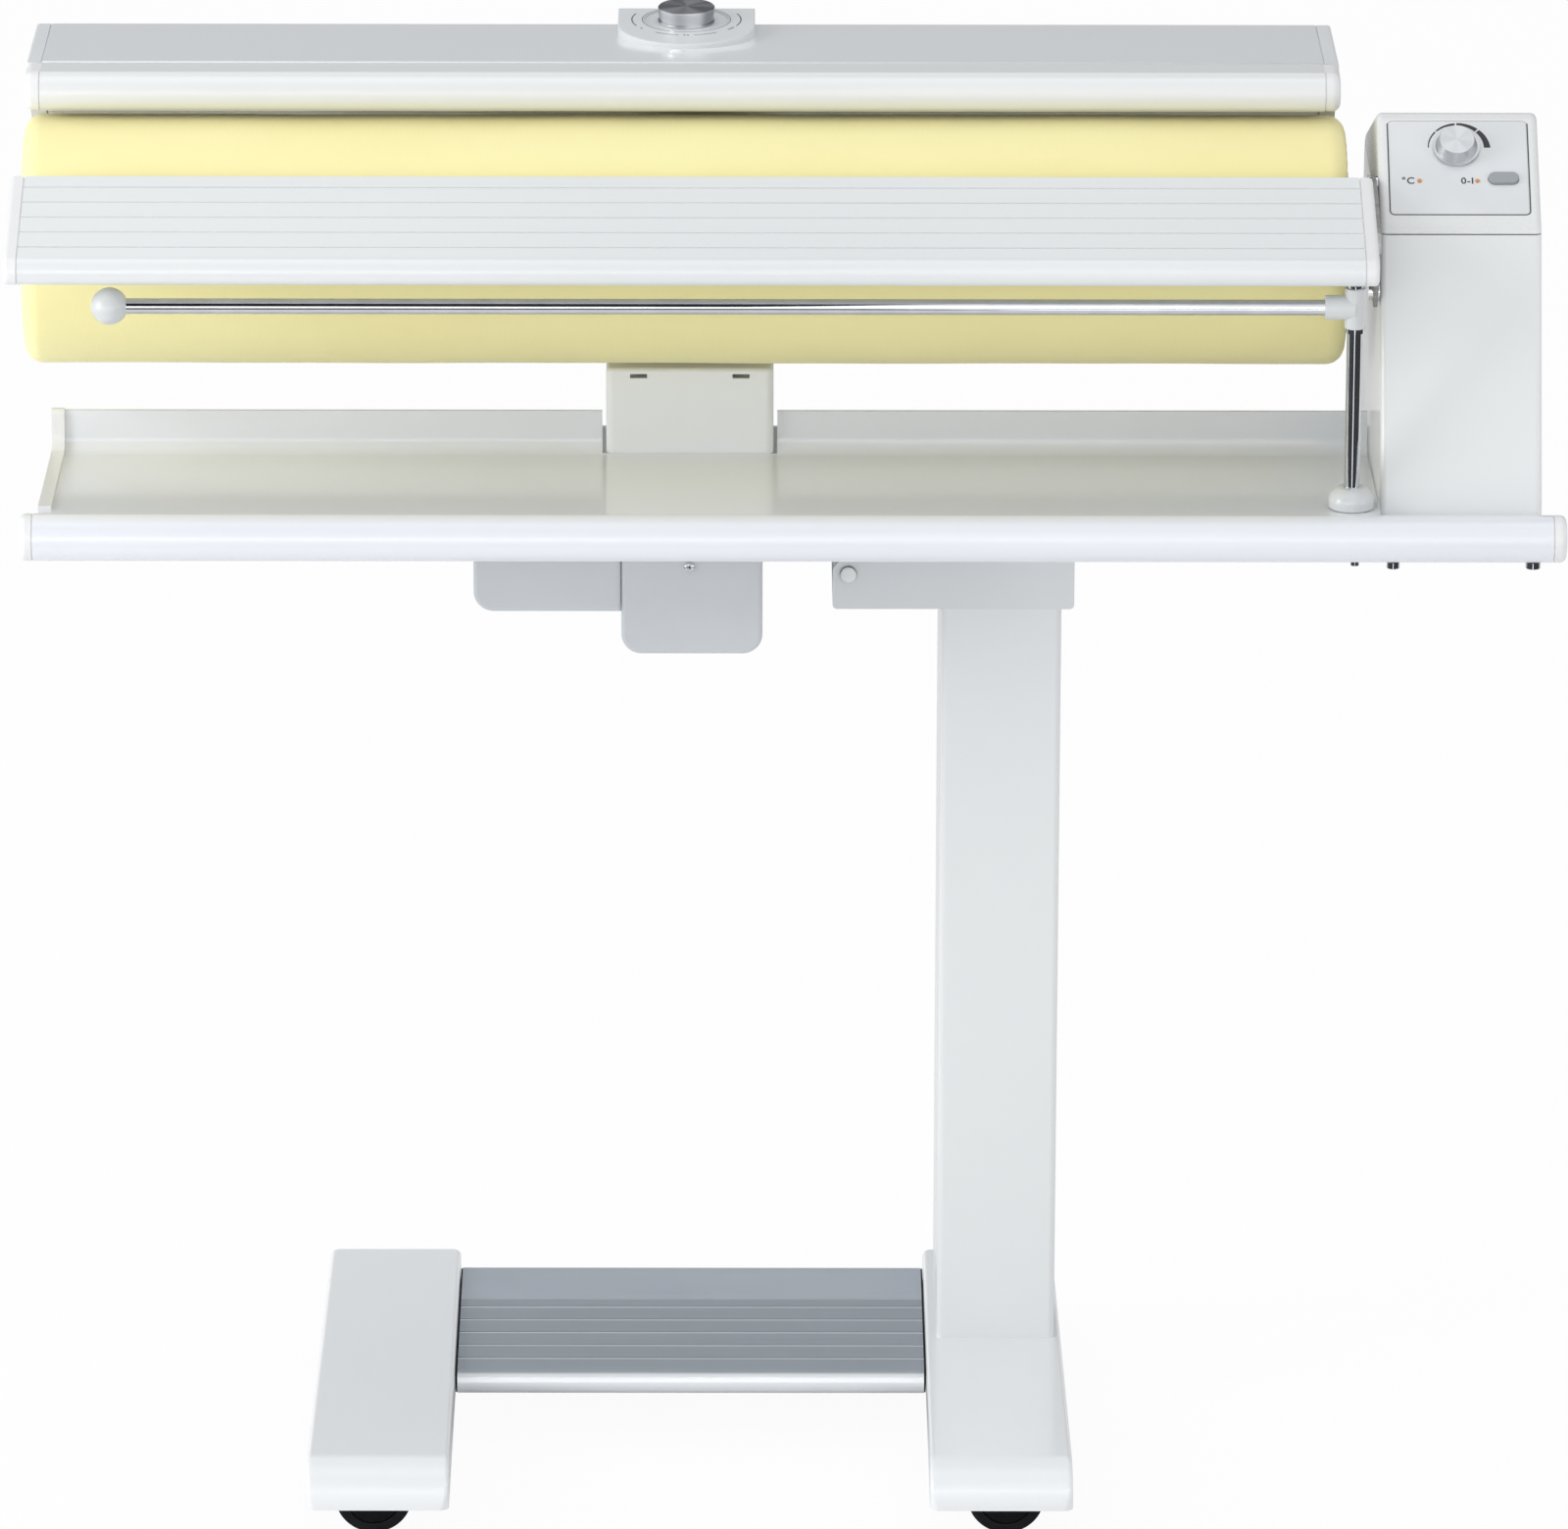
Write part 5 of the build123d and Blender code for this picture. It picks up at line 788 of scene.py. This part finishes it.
# The knob's sectors of tone are painted sheen, and its top face is darkened as painted shade.
knob_metal = turned_metal(
    "turned_knob_aluminium", (knob_axis_x, knob_axis_y, 0.0), 0.0, (0.34, 0.355, 0.375, 1),
    (0.80, 0.815, 0.84, 1), knob_high.z - 0.0003, 0.54,
)
dress(knob_metal, "temperature_knob")
plinth_plastic = moulded_plastic(
    "plinth_moulding", (0.720, 0.745, 0.758, 1), (0.745, 0.768, 0.780, 1), 0.36
)
dress(plinth_plastic, "knob_plinth")
dress(zinc_steel, "thermostat")

dark_print = flecked(
    "dark_grey_print", (0.022, 0.024, 0.028, 1), (0.040, 0.042, 0.047, 1), 0.5, 0.0, 1500.0, 2.0
)[0]


def flat_arc(inner, outer_start, outer_end, from_angle, to_angle, steps=48):
    """A flat curved band as points in its own plane: its inner edge is a circle.

    The outer edge's radius goes evenly from outer_start to outer_end along the arc. Angles are in
    degrees from the plane's first axis, and the points are (across, up, 0).
    """
    turn = np.radians(np.linspace(from_angle, to_angle, steps))
    outer = np.linspace(outer_start, outer_end, steps)
    edges = [np.stack([r * np.cos(turn), r * np.sin(turn), 0 * turn], axis=1) for r in (inner, outer)]
    return np.stack(edges, axis=1)


def laid_on(points, origin, across, up):
    """Moves points (a, b, c) of a plane to origin + a * across + b * up + c * out."""
    across = np.asarray(across, float)
    up = np.asarray(up, float)
    out = np.cross(across, up)
    flat = points.reshape(-1, 3)
    placed = flat[:, :1] * across + flat[:, 1:2] * up + flat[:, 2:] * out
    return (np.asarray(origin, float) + placed).reshape(points.shape)


def joined_piece(name, parts, material, thickness):
    """One piece from several grids of points, each given a thickness by Solidify."""
    meshes = [grid_mesh(name, points) for points in parts]
    counts = np.cumsum([0] + [len(mesh.vertices) for mesh in meshes])
    vertices = []
    faces = []
    for mesh, count in zip(meshes, counts):
        co = np.empty(len(mesh.vertices) * 3, np.float32)
        mesh.vertices.foreach_get("co", co)
        index = np.empty(len(mesh.loops), np.int32)
        mesh.loops.foreach_get("vertex_index", index)
        vertices.append(co.reshape(-1, 3))
        faces.append(index.reshape(-1, 4) + count)
        bpy.data.meshes.remove(mesh)
    mesh = bpy.data.meshes.new(name)
    mesh.from_pydata(np.concatenate(vertices).tolist(), [], np.concatenate(faces).tolist())
    piece = new_piece(name, mesh, material, smooth=False)
    wall = piece.modifiers.new("thickness", "SOLIDIFY")
    wall.thickness = thickness
    wall.offset = 1.0
    return piece


def flat_disc(centre, radius, steps=24):
    """A flat round dot: rings of points from nearly nothing to its radius."""
    turn = np.linspace(0.0, 2 * np.pi, steps + 1)
    radii = np.array([0.00001, radius])[:, None]
    x = centre[0] + radii * np.cos(turn)
    y = centre[1] + radii * np.sin(turn)
    return np.stack([x, y, 0 * x], axis=2).transpose(1, 0, 2)


scale_parts = [flat_arc(recess_line_inner, recess_line_outer, recess_line_outer, 0.0, 360.0, 97)]
for first, last in range_arcs:
    scale_parts.append(flat_arc(range_arc_inner, range_arc_outer, range_arc_outer, first, last, 32))
for middle_angle, dots in range_dots:
    for step in range(dots):
        dot_angle = math.radians(middle_angle + (step - (dots - 1) / 2) * dot_step)
        dot_centre = (dot_circle * math.cos(dot_angle), dot_circle * math.sin(dot_angle))
        scale_parts.append(flat_disc(dot_centre, dot_radius))
plinth_origin = (knob_axis_x, knob_axis_y, plinth_top + print_lift)
placed_parts = [laid_on(part, plinth_origin, (1, 0, 0), (0, 1, 0)) for part in scale_parts]
plinth_print = joined_piece("plinth_print", placed_parts, dark_print, print_thickness)
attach(plinth_print, "heater")

# --- White lamp in front of the plinth ---
# A small oval lens in the cover in front of the plinth, which lights while the shoe heats up,
# moulded in milky white plastic.
nub_half_length = 0.0048
nub_half_depth = 0.0030
nub_height = 0.0020
nub_sunk = 0.0002
nub_centre = (knob_axis_x - 0.006, 0.0560)
cover_slope = math.tan(math.radians(4.6))

nub_out, nub_turn = np.meshgrid(
    np.linspace(0.0, np.pi / 2, 14), np.linspace(0.0, 2 * np.pi, 48, endpoint=False), indexing="ij"
)
nub_x = nub_centre[0] + nub_half_length * np.sin(nub_out) * np.cos(nub_turn)
nub_y = nub_centre[1] + nub_half_depth * np.sin(nub_out) * np.sin(nub_turn)
cover_z = cover_front_z - (nub_y - cover_front_y) * cover_slope
nub_z = cover_z + nub_height * np.cos(nub_out) - nub_sunk
milky_lens = moulded_plastic("milky_lens", (0.86, 0.87, 0.87, 1), (0.90, 0.91, 0.91, 1), 0.18)
nub_mesh = grid_mesh("heating_lamp_lens", np.stack([nub_x, nub_y, nub_z], axis=2), loop_v=True)
heating_lamp = new_piece("heating_lamp_lens", nub_mesh, milky_lens)
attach(heating_lamp, "heater")

# --- Roller: padding and cloth ---
# A steel core wound with wool felt under a pale yellow cotton cloth. The cloth is drawn over both
# ends by a cord in its hem, which gathers it into fine radial pleats.
roller_axis_z = 0.8368
roller_left = -0.488
roller_right = 0.358
roller_radius = 0.080
roller_corner = 0.012
felt_inner = 0.0722
felt_outer = 0.0782
felt_inset = 0.008
cloth_thickness = 0.0011
hem_radius = 0.053
gathers = 44
end_pleat_depth = 0.0018
side_pleat_depth = 0.0006
side_pleat_reach = 0.010
mean_ease = 0.00030
long_ease = 0.00018
short_ease = 0.00010
long_ease_wave = 0.31
short_ease_wave = 0.11
ease_fade = 0.03

felt, felt_tree, felt_shader, felt_fibre = flecked(
    "wool_felt", (0.52, 0.49, 0.42, 1), (0.72, 0.69, 0.62, 1), 0.95, 0.0, 900.0, 6.0, 0.7
)
felt_shader.inputs["Sheen Weight"].default_value = 0.3
raise_surface(felt_tree, felt_shader, felt_fibre, 0.0006, 0.8)

felt_profile = rounded_ring(
    roller_left + felt_inset, roller_right - felt_inset, felt_inner, felt_outer, 0.0025, 8
)
felt_points = turned(felt_profile, (0.0, 0.0, roller_axis_z), (1.0, 0.0, 0.0), 96)
felt_ring = new_piece(
    "roller_felt", grid_mesh("roller_felt", felt_points, loop_u=True, loop_v=True), felt
)
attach(felt_ring, "roller")
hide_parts("roller_padding")

cloth_pale = (0.990, 0.918, 0.475, 1.0)
cloth_deep = (0.965, 0.876, 0.435, 1.0)
cotton, cotton_tree, cotton_shader = blank_material("yellow_cotton_cloth")
cotton_map = cotton_tree.nodes.new("ShaderNodeUVMap")
cotton_map.uv_map = "cloth"
warp = cotton_tree.nodes.new("ShaderNodeTexWave")
weft = cotton_tree.nodes.new("ShaderNodeTexWave")
for threads, direction in ((warp, "X"), (weft, "Y")):
    threads.wave_type = "BANDS"
    threads.bands_direction = direction
    threads.inputs["Scale"].default_value = 420.0
    threads.inputs["Distortion"].default_value = 0.6
    threads.inputs["Detail"].default_value = 1.0
    cotton_tree.links.new(cotton_map.outputs["UV"], threads.inputs["Vector"])
weave = worked_out(cotton_tree, "MULTIPLY", warp.outputs["Fac"], weft.outputs["Fac"])
cotton_cloud = noise_field(cotton_tree, surface_place(cotton_tree, (0.5, 1.0, 1.0)), 9.0, 4.0)
cotton_slub = noise_field(cotton_tree, cotton_map.outputs["UV"], 160.0, 4.0, 0.6)
cotton_tree.links.new(
    two_tones(cotton_tree, cotton_cloud, cloth_deep, cloth_pale), cotton_shader.inputs["Base Color"]
)
cotton_height = worked_out(cotton_tree, "MULTIPLY_ADD", cotton_slub, 0.5, weave)
cotton_shader.inputs["Roughness"].default_value = 0.88
cotton_shader.inputs["Specular IOR Level"].default_value = 0.25
cotton_shader.inputs["Sheen Weight"].default_value = 0.25
cotton_shader.inputs["Sheen Roughness"].default_value = 0.5
raise_surface(cotton_tree, cotton_shader, cotton_height, 0.00022, 0.5)


def cloth_profile():
    """The stretched cloth's half section as (along, radius): hem, end, corner, length and back."""
    end_steps = np.linspace(hem_radius, roller_radius - roller_corner, 16)
    corner_turn = np.linspace(0.0, np.pi / 2, 14)[1:]
    left_end = np.stack([np.full_like(end_steps, roller_left), end_steps], axis=1)
    left_corner = np.stack(
        [
            roller_left + roller_corner * (1 - np.cos(corner_turn)),
            roller_radius - roller_corner * (1 - np.sin(corner_turn)),
        ],
        axis=1,
    )
    along = np.linspace(roller_left + roller_corner, roller_right - roller_corner, 100)[1:-1]
    length = np.stack([along, np.full_like(along, roller_radius)], axis=1)
    mirror = np.concatenate([left_end, left_corner])[::-1].copy()
    mirror[:, 0] = roller_left + roller_right - mirror[:, 0]
    return np.concatenate([left_end, left_corner, length, mirror])


cloth_line = cloth_profile()
cloth_run = np.concatenate([[0.0], np.cumsum(np.linalg.norm(np.diff(cloth_line, axis=0), axis=1))])
cloth_around = 264
cloth_turn = np.linspace(0.0, 2 * np.pi, cloth_around, endpoint=False)
end_distance = np.minimum(cloth_line[:, 0] - roller_left, roller_right - cloth_line[:, 0])
# Gathers: folds round the ends, deepest at the hem, and gone 30 mm along the roller.
at_hem = np.clip((roller_radius - cloth_line[:, 1]) / (roller_radius - hem_radius), 0.0, 1.0)
along_fade = np.exp(-end_distance / side_pleat_reach)
pleat = 0.5 + 0.5 * np.cos(gathers * cloth_turn + 1.6 * np.sin(3 * cloth_turn) + 0.7)
uneven = 0.75 + 0.25 * np.sin(5 * cloth_turn + 1.1)
inward_end = end_pleat_depth * (at_hem**0.8)[:, None] * (pleat * uneven)[None, :]
inward_side = side_pleat_depth * (along_fade * (1 - at_hem))[:, None] * (pleat * uneven)[None, :]
# Ease: the long soft unevenness of padding that has been ironed on, always inwards.
long_swing = np.sin(2 * np.pi * cloth_line[:, 0] / long_ease_wave + 0.8)[:, None]
short_swing = np.sin(2 * np.pi * cloth_line[:, 0] / short_ease_wave)[:, None]
long_wave = long_swing * np.cos(cloth_turn + 0.4)[None, :]
short_wave = short_swing * np.cos(2 * cloth_turn)[None, :]
middle_only = np.clip(end_distance / ease_fade, 0.0, 1.0)[:, None]
ease = middle_only * (mean_ease + long_ease * long_wave + short_ease * short_wave)
cloth_radius = cloth_line[:, 1][:, None] - inward_side - ease
toward_middle = np.where(cloth_line[:, 0] < (roller_left + roller_right) / 2, 1.0, -1.0)
cloth_x = cloth_line[:, 0][:, None] + toward_middle[:, None] * inward_end
cloth_points = np.stack(
    [
        np.broadcast_to(cloth_x, cloth_radius.shape),
        cloth_radius * np.sin(cloth_turn)[None, :],
        roller_axis_z + cloth_radius * np.cos(cloth_turn)[None, :],
    ],
    axis=2,
)
cloth_mesh = grid_mesh("roller_cloth", cloth_points, loop_v=True)
cloth_index = np.empty(len(cloth_mesh.loops), np.int32)
cloth_mesh.loops.foreach_get("vertex_index", cloth_index)
cloth_u = cloth_run[cloth_index // cloth_around]
roller_girth = 2 * np.pi * roller_radius
cloth_v = (cloth_index % cloth_around).reshape(-1, 4) * (roller_girth / cloth_around)
wraps = (cloth_v.max(axis=1) - cloth_v.min(axis=1)) > roller_girth / 2
cloth_v[wraps] = np.where(cloth_v[wraps] == 0.0, roller_girth, cloth_v[wraps])
cloth_uv = cloth_mesh.uv_layers.new(name="cloth")
cloth_uv.data.foreach_set("uv", np.stack([cloth_u, cloth_v.reshape(-1)], axis=1).reshape(-1))
roller_cloth = new_piece("roller_cloth", cloth_mesh, cotton)
cloth_wall = roller_cloth.modifiers.new("cloth_thickness", "SOLIDIFY")
cloth_wall.thickness = cloth_thickness
cloth_wall.offset = -1.0
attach(roller_cloth, "roller")
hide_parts("roller_cover")

# --- Roller core and shaft ---
# A rolled steel tube with welded end discs on a ground shaft, oiled and otherwise bare. Only the
# recessed disc at the free end shows.
core_steel = flecked(
    "bare_rolled_steel", (0.34, 0.34, 0.34, 1), (0.50, 0.50, 0.50, 1), (0.30, 0.48), 1.0,
    4.0, 4.0, stretch=(2.0, 60.0, 60.0),
)[0]
dress(core_steel, "roller_core", "roller_shaft", "roller_bearings", "feed_board_bracket")

# --- Feed board and its caps ---
# A hollow grooved extrusion in white enamel in front of the roller, with moulded caps over both
# ends, hung at its right end from two bright bolts.
board_enamel = baked_enamel(
    "feed_board_enamel", (0.770, 0.790, 0.798, 1), (0.795, 0.814, 0.820, 1), 0.32
)
dress(board_enamel, "feed_board")
dress(white_plastic, "feed_board_caps")

# --- Bolts and screws ---
# Chrome-plated bolts on the feed board, a cross-recess screw in the drive box and the screws that
# hold the tray's tube from below.
chrome = flecked(
    "bright_chrome_plate", (0.60, 0.615, 0.64, 1), (0.66, 0.675, 0.70, 1), (0.03, 0.07), 1.0,
    60.0, 3.0,
)[0]
dress(chrome, "fixing_screws")


def recessed_head(name, centre, out, radius, height, recess, material, body):
    """A domed screw head with a cross recess, seated on a plane at its centre.

    At a distance r from the axis its height is height * (1 - (r / radius)^4), less the recess
    where either of the two cross arms passes, and the arms fade out at two thirds of the radius.
    """
    out = np.asarray(out, float)
    first = np.cross(out, (0.31, 0.52, 0.79))
    first /= np.linalg.norm(first)
    second = np.cross(out, first)
    share, turn = np.meshgrid(
        np.linspace(0.0, 1.0, 28), np.linspace(0, 2 * np.pi, 72, endpoint=False), indexing="ij"
    )
    share[0] = 0.002
    a = share * radius * np.cos(turn)
    b = share * radius * np.sin(turn)
    arm = radius * 0.16
    reach = np.clip((0.66 - share) / 0.12, 0.0, 1.0)
    cross_a = np.clip((arm * 1.5 - np.abs(a)) / (arm * 0.5), 0.0, 1.0)
    cross_b = np.clip((arm * 1.5 - np.abs(b)) / (arm * 0.5), 0.0, 1.0)
    rise = height * (1 - share**4) - recess * np.maximum(cross_a, cross_b) * reach
    points = np.asarray(centre, float) + a[..., None] * first + b[..., None] * second
    points = points + rise[..., None] * out
    head = new_piece(name, grid_mesh(name, points, loop_v=True), material)
    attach(head, body)
    return head


screw_rise = 0.0018
screw_place = (-0.062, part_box("drive_box_right")[0].y - screw_rise, 0.635)
screw_radius = 0.0034
screw_height = 0.0010
recess_depth = 0.0008
recessed_head(
    "drive_box_screw_head", screw_place, (0, -1, 0), screw_radius, screw_height, recess_depth,
    chrome, "ironer",
)

# --- Rail, post and tee ---
# The chromed rail and post carry a white tee and ball, and the post stands in a white domed foot
# on the tray's tube. The rail swings forward about the post.
dress(chrome, "rail_post", "rail_rod")
fitting_plastic = moulded_plastic(
    "glossy_white_fitting", (0.635, 0.650, 0.655, 1), (0.665, 0.680, 0.685, 1), 0.20
)
dress(fitting_plastic, "post_dome", "rail_tee", "rail_ball")

# --- Housing and control head ---
# The housing is a leaning box of enamelled sheet. The control head on top of it is one smooth
# white moulding with round edges and a sloping front.
dress(white_enamel, "housing_shell")
head_plastic = moulded_plastic(
    "control_head_moulding", (0.770, 0.782, 0.784, 1), (0.790, 0.802, 0.804, 1), 0.30
)
dress(head_plastic, "control_head")

# --- Control panel and its printing ---
# A silvery satin panel let into the sloping front, with a growing wedge scale round the speed
# knob and plain marks beside the two lamps: the sign for degrees, and off and on.
panel_slope = math.radians(36.4)
panel_origin = np.array((0.42775, -0.088, 0.8715))
panel_across = np.array((1.0, 0.0, 0.0))
panel_up = np.array((0.0, math.cos(panel_slope), math.sin(panel_slope)))
panel_out = np.cross(panel_across, panel_up)
panel_face = -0.0002
dial_place = (-0.0010, 0.0646)

panel_satin, panel_tree, panel_shader = blank_material("satin_silver_panel")
panel_cloud = noise_field(panel_tree, surface_place(panel_tree), 22.0, 2.0)
panel_fine = noise_field(panel_tree, surface_place(panel_tree), 1400.0, 2.0)
panel_tree.links.new(
    two_tones(panel_tree, panel_cloud, (0.690, 0.706, 0.716, 1), (0.735, 0.750, 0.760, 1)),
    panel_shader.inputs["Base Color"],
)
panel_shader.inputs["Metallic"].default_value = 0.15
panel_tree.links.new(between(panel_tree, panel_fine, 0.30, 0.40), panel_shader.inputs["Roughness"])
raise_surface(panel_tree, panel_shader, panel_fine, 0.00002, 0.5)
dress(panel_satin, "control_panel")


def on_panel(points, lift=print_lift):
    """Points (across, up, 0) of the panel's plane as places on its face."""
    origin = panel_origin + (panel_face + lift) * panel_out
    return laid_on(points, origin, panel_across, panel_up)


wedge_inner = 0.0175
wedge_least = 0.0007
wedge_growth = 0.0035
wedge_gap = 1.6
wedge_parts = []
for first, last in ((180.0, 135.0), (135.0, 90.0), (90.0, 45.0), (45.0, 0.0)):
    start = first - (wedge_gap if first < 180.0 else 0.0)
    end = last + (wedge_gap if last > 0.0 else 0.0)
    shares = [(180.0 - angle) / 180.0 for angle in (start, end)]
    outer = [wedge_inner + wedge_least + wedge_growth * share**1.6 for share in shares]
    band = flat_arc(wedge_inner, outer[0], outer[1], start, end, 24)
    band[:, :, 0] += dial_place[0]
    band[:, :, 1] += dial_place[1]
    wedge_parts.append(on_panel(band[:, ::-1]))
wedge_scale = joined_piece("speed_wedge_scale", wedge_parts, dark_print, print_thickness)
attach(wedge_scale, "ironer")


def printed_text(name, text, height, centre):
    """Plain printed signs on the panel, made a mesh before they are placed.

    A capital letter is 0.7 of the type's size, so the size is the height over 0.7.
    """
    curve = bpy.data.curves.new(name, "FONT")
    curve.body = text
    curve.size = height / 0.7
    curve.align_x = "CENTER"
    curve.align_y = "CENTER"
    curve.extrude = 0.00002
    curve.offset = 0.00012
    curve.space_character = 1.12
    holder = bpy.data.objects.new(name + "_curve", curve)
    scene.collection.objects.link(holder)
    bpy.context.view_layer.update()
    mesh = bpy.data.meshes.new_from_object(holder)
    bpy.data.objects.remove(holder)
    co = np.empty(len(mesh.vertices) * 3, np.float32)
    mesh.vertices.foreach_get("co", co)
    points = co.reshape(-1, 3).astype(float)
    points[:, 0] += centre[0]
    points[:, 1] += centre[1]
    mesh.vertices.foreach_set("co", on_panel(points).reshape(-1).astype(np.float32))
    mesh.materials.clear()
    sign = new_piece(name, mesh, dark_print, smooth=False)
    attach(sign, "ironer")
    return sign


def panel_edge_line(half_width, bottom, top, corner, line):
    """A fine groove line down the left side, round the lower corners and up the right side.

    The outline is a U of the given half width, with quarter circles of the corner's radius.
    """
    turn = np.radians(np.linspace(180.0, 270.0, 9))
    left_x = -half_width + corner + corner * np.cos(turn)
    left_y = bottom + corner + corner * np.sin(turn)
    x = np.concatenate([[-half_width], left_x, -left_x[::-1], [half_width]])
    y = np.concatenate([[top], left_y, left_y[::-1], [top]])
    along = np.stack([np.gradient(x), np.gradient(y)], axis=1)
    along /= np.linalg.norm(along, axis=1)[:, None]
    side = np.stack([along[:, 1], -along[:, 0]], axis=1) * line / 2
    centre = np.stack([x, y], axis=1)
    band = np.stack([centre - side, centre + side], axis=1)
    return np.concatenate([band, np.zeros(band.shape[:2] + (1,))], axis=2)


line_half_width = 0.0446
line_bottom = 0.0115
line_top = 0.0835
line_corner = 0.0030
line_wide = 0.0008
line_lift = 0.0003
edge_line = panel_edge_line(line_half_width, line_bottom, line_top, line_corner, line_wide)
panel_line = joined_piece(
    "panel_edge_line", [on_panel(edge_line, line_lift)], dark_print, print_thickness
)
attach(panel_line, "ironer")

sign_row = 0.0382
printed_text("degree_sign", "°C", 0.0050, (-0.0325, sign_row))
printed_text("off_on_sign", "0-I", 0.0048, (0.0052, sign_row))

# --- Speed knob, lamps and button ---
# A turned silvery knob with a flat cap and a fine tick, two amber lamp lenses and one grey
# oblong push button.
dial_axis = panel_origin + dial_place[0] * panel_across + dial_place[1] * panel_up
# The speed knob's sectors of tone are painted sheen.
knob_silver = turned_metal(
    "silver_turned_knob", tuple(dial_axis), panel_slope, (0.54, 0.555, 0.575, 1),
    (0.62, 0.635, 0.655, 1), 1.0, 1.0,
)
dress(knob_silver, "speed_knob")

amber, _, amber_shader, _ = flecked(
    "amber_lamp_lens", (0.50, 0.17, 0.012, 1), (0.66, 0.26, 0.022, 1), 0.15, 0.0, 500.0, 2.0
)
amber_shader.inputs["Coat Weight"].default_value = 0.6
dress(amber, "indicator_lamps")

button_plastic = moulded_plastic(
    "grey_button_moulding", (0.330, 0.352, 0.372, 1), (0.360, 0.382, 0.400, 1), 0.40
)
dress(button_plastic, "power_button")

dial_top = 0.0089
tick_half_width = 0.00025
tick_start = 0.0070
tick_end = 0.0106
tick_across, tick_up = np.meshgrid(
    [tick_half_width, -tick_half_width], [tick_start, tick_end]
)
tick = np.stack([dial_place[0] + tick_across, dial_place[1] + tick_up, 0 * tick_up], axis=2)
knob_tick = joined_piece(
    "speed_knob_tick", [on_panel(tick, dial_top)], dark_print, print_thickness
)
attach(knob_tick, "speed_dial")
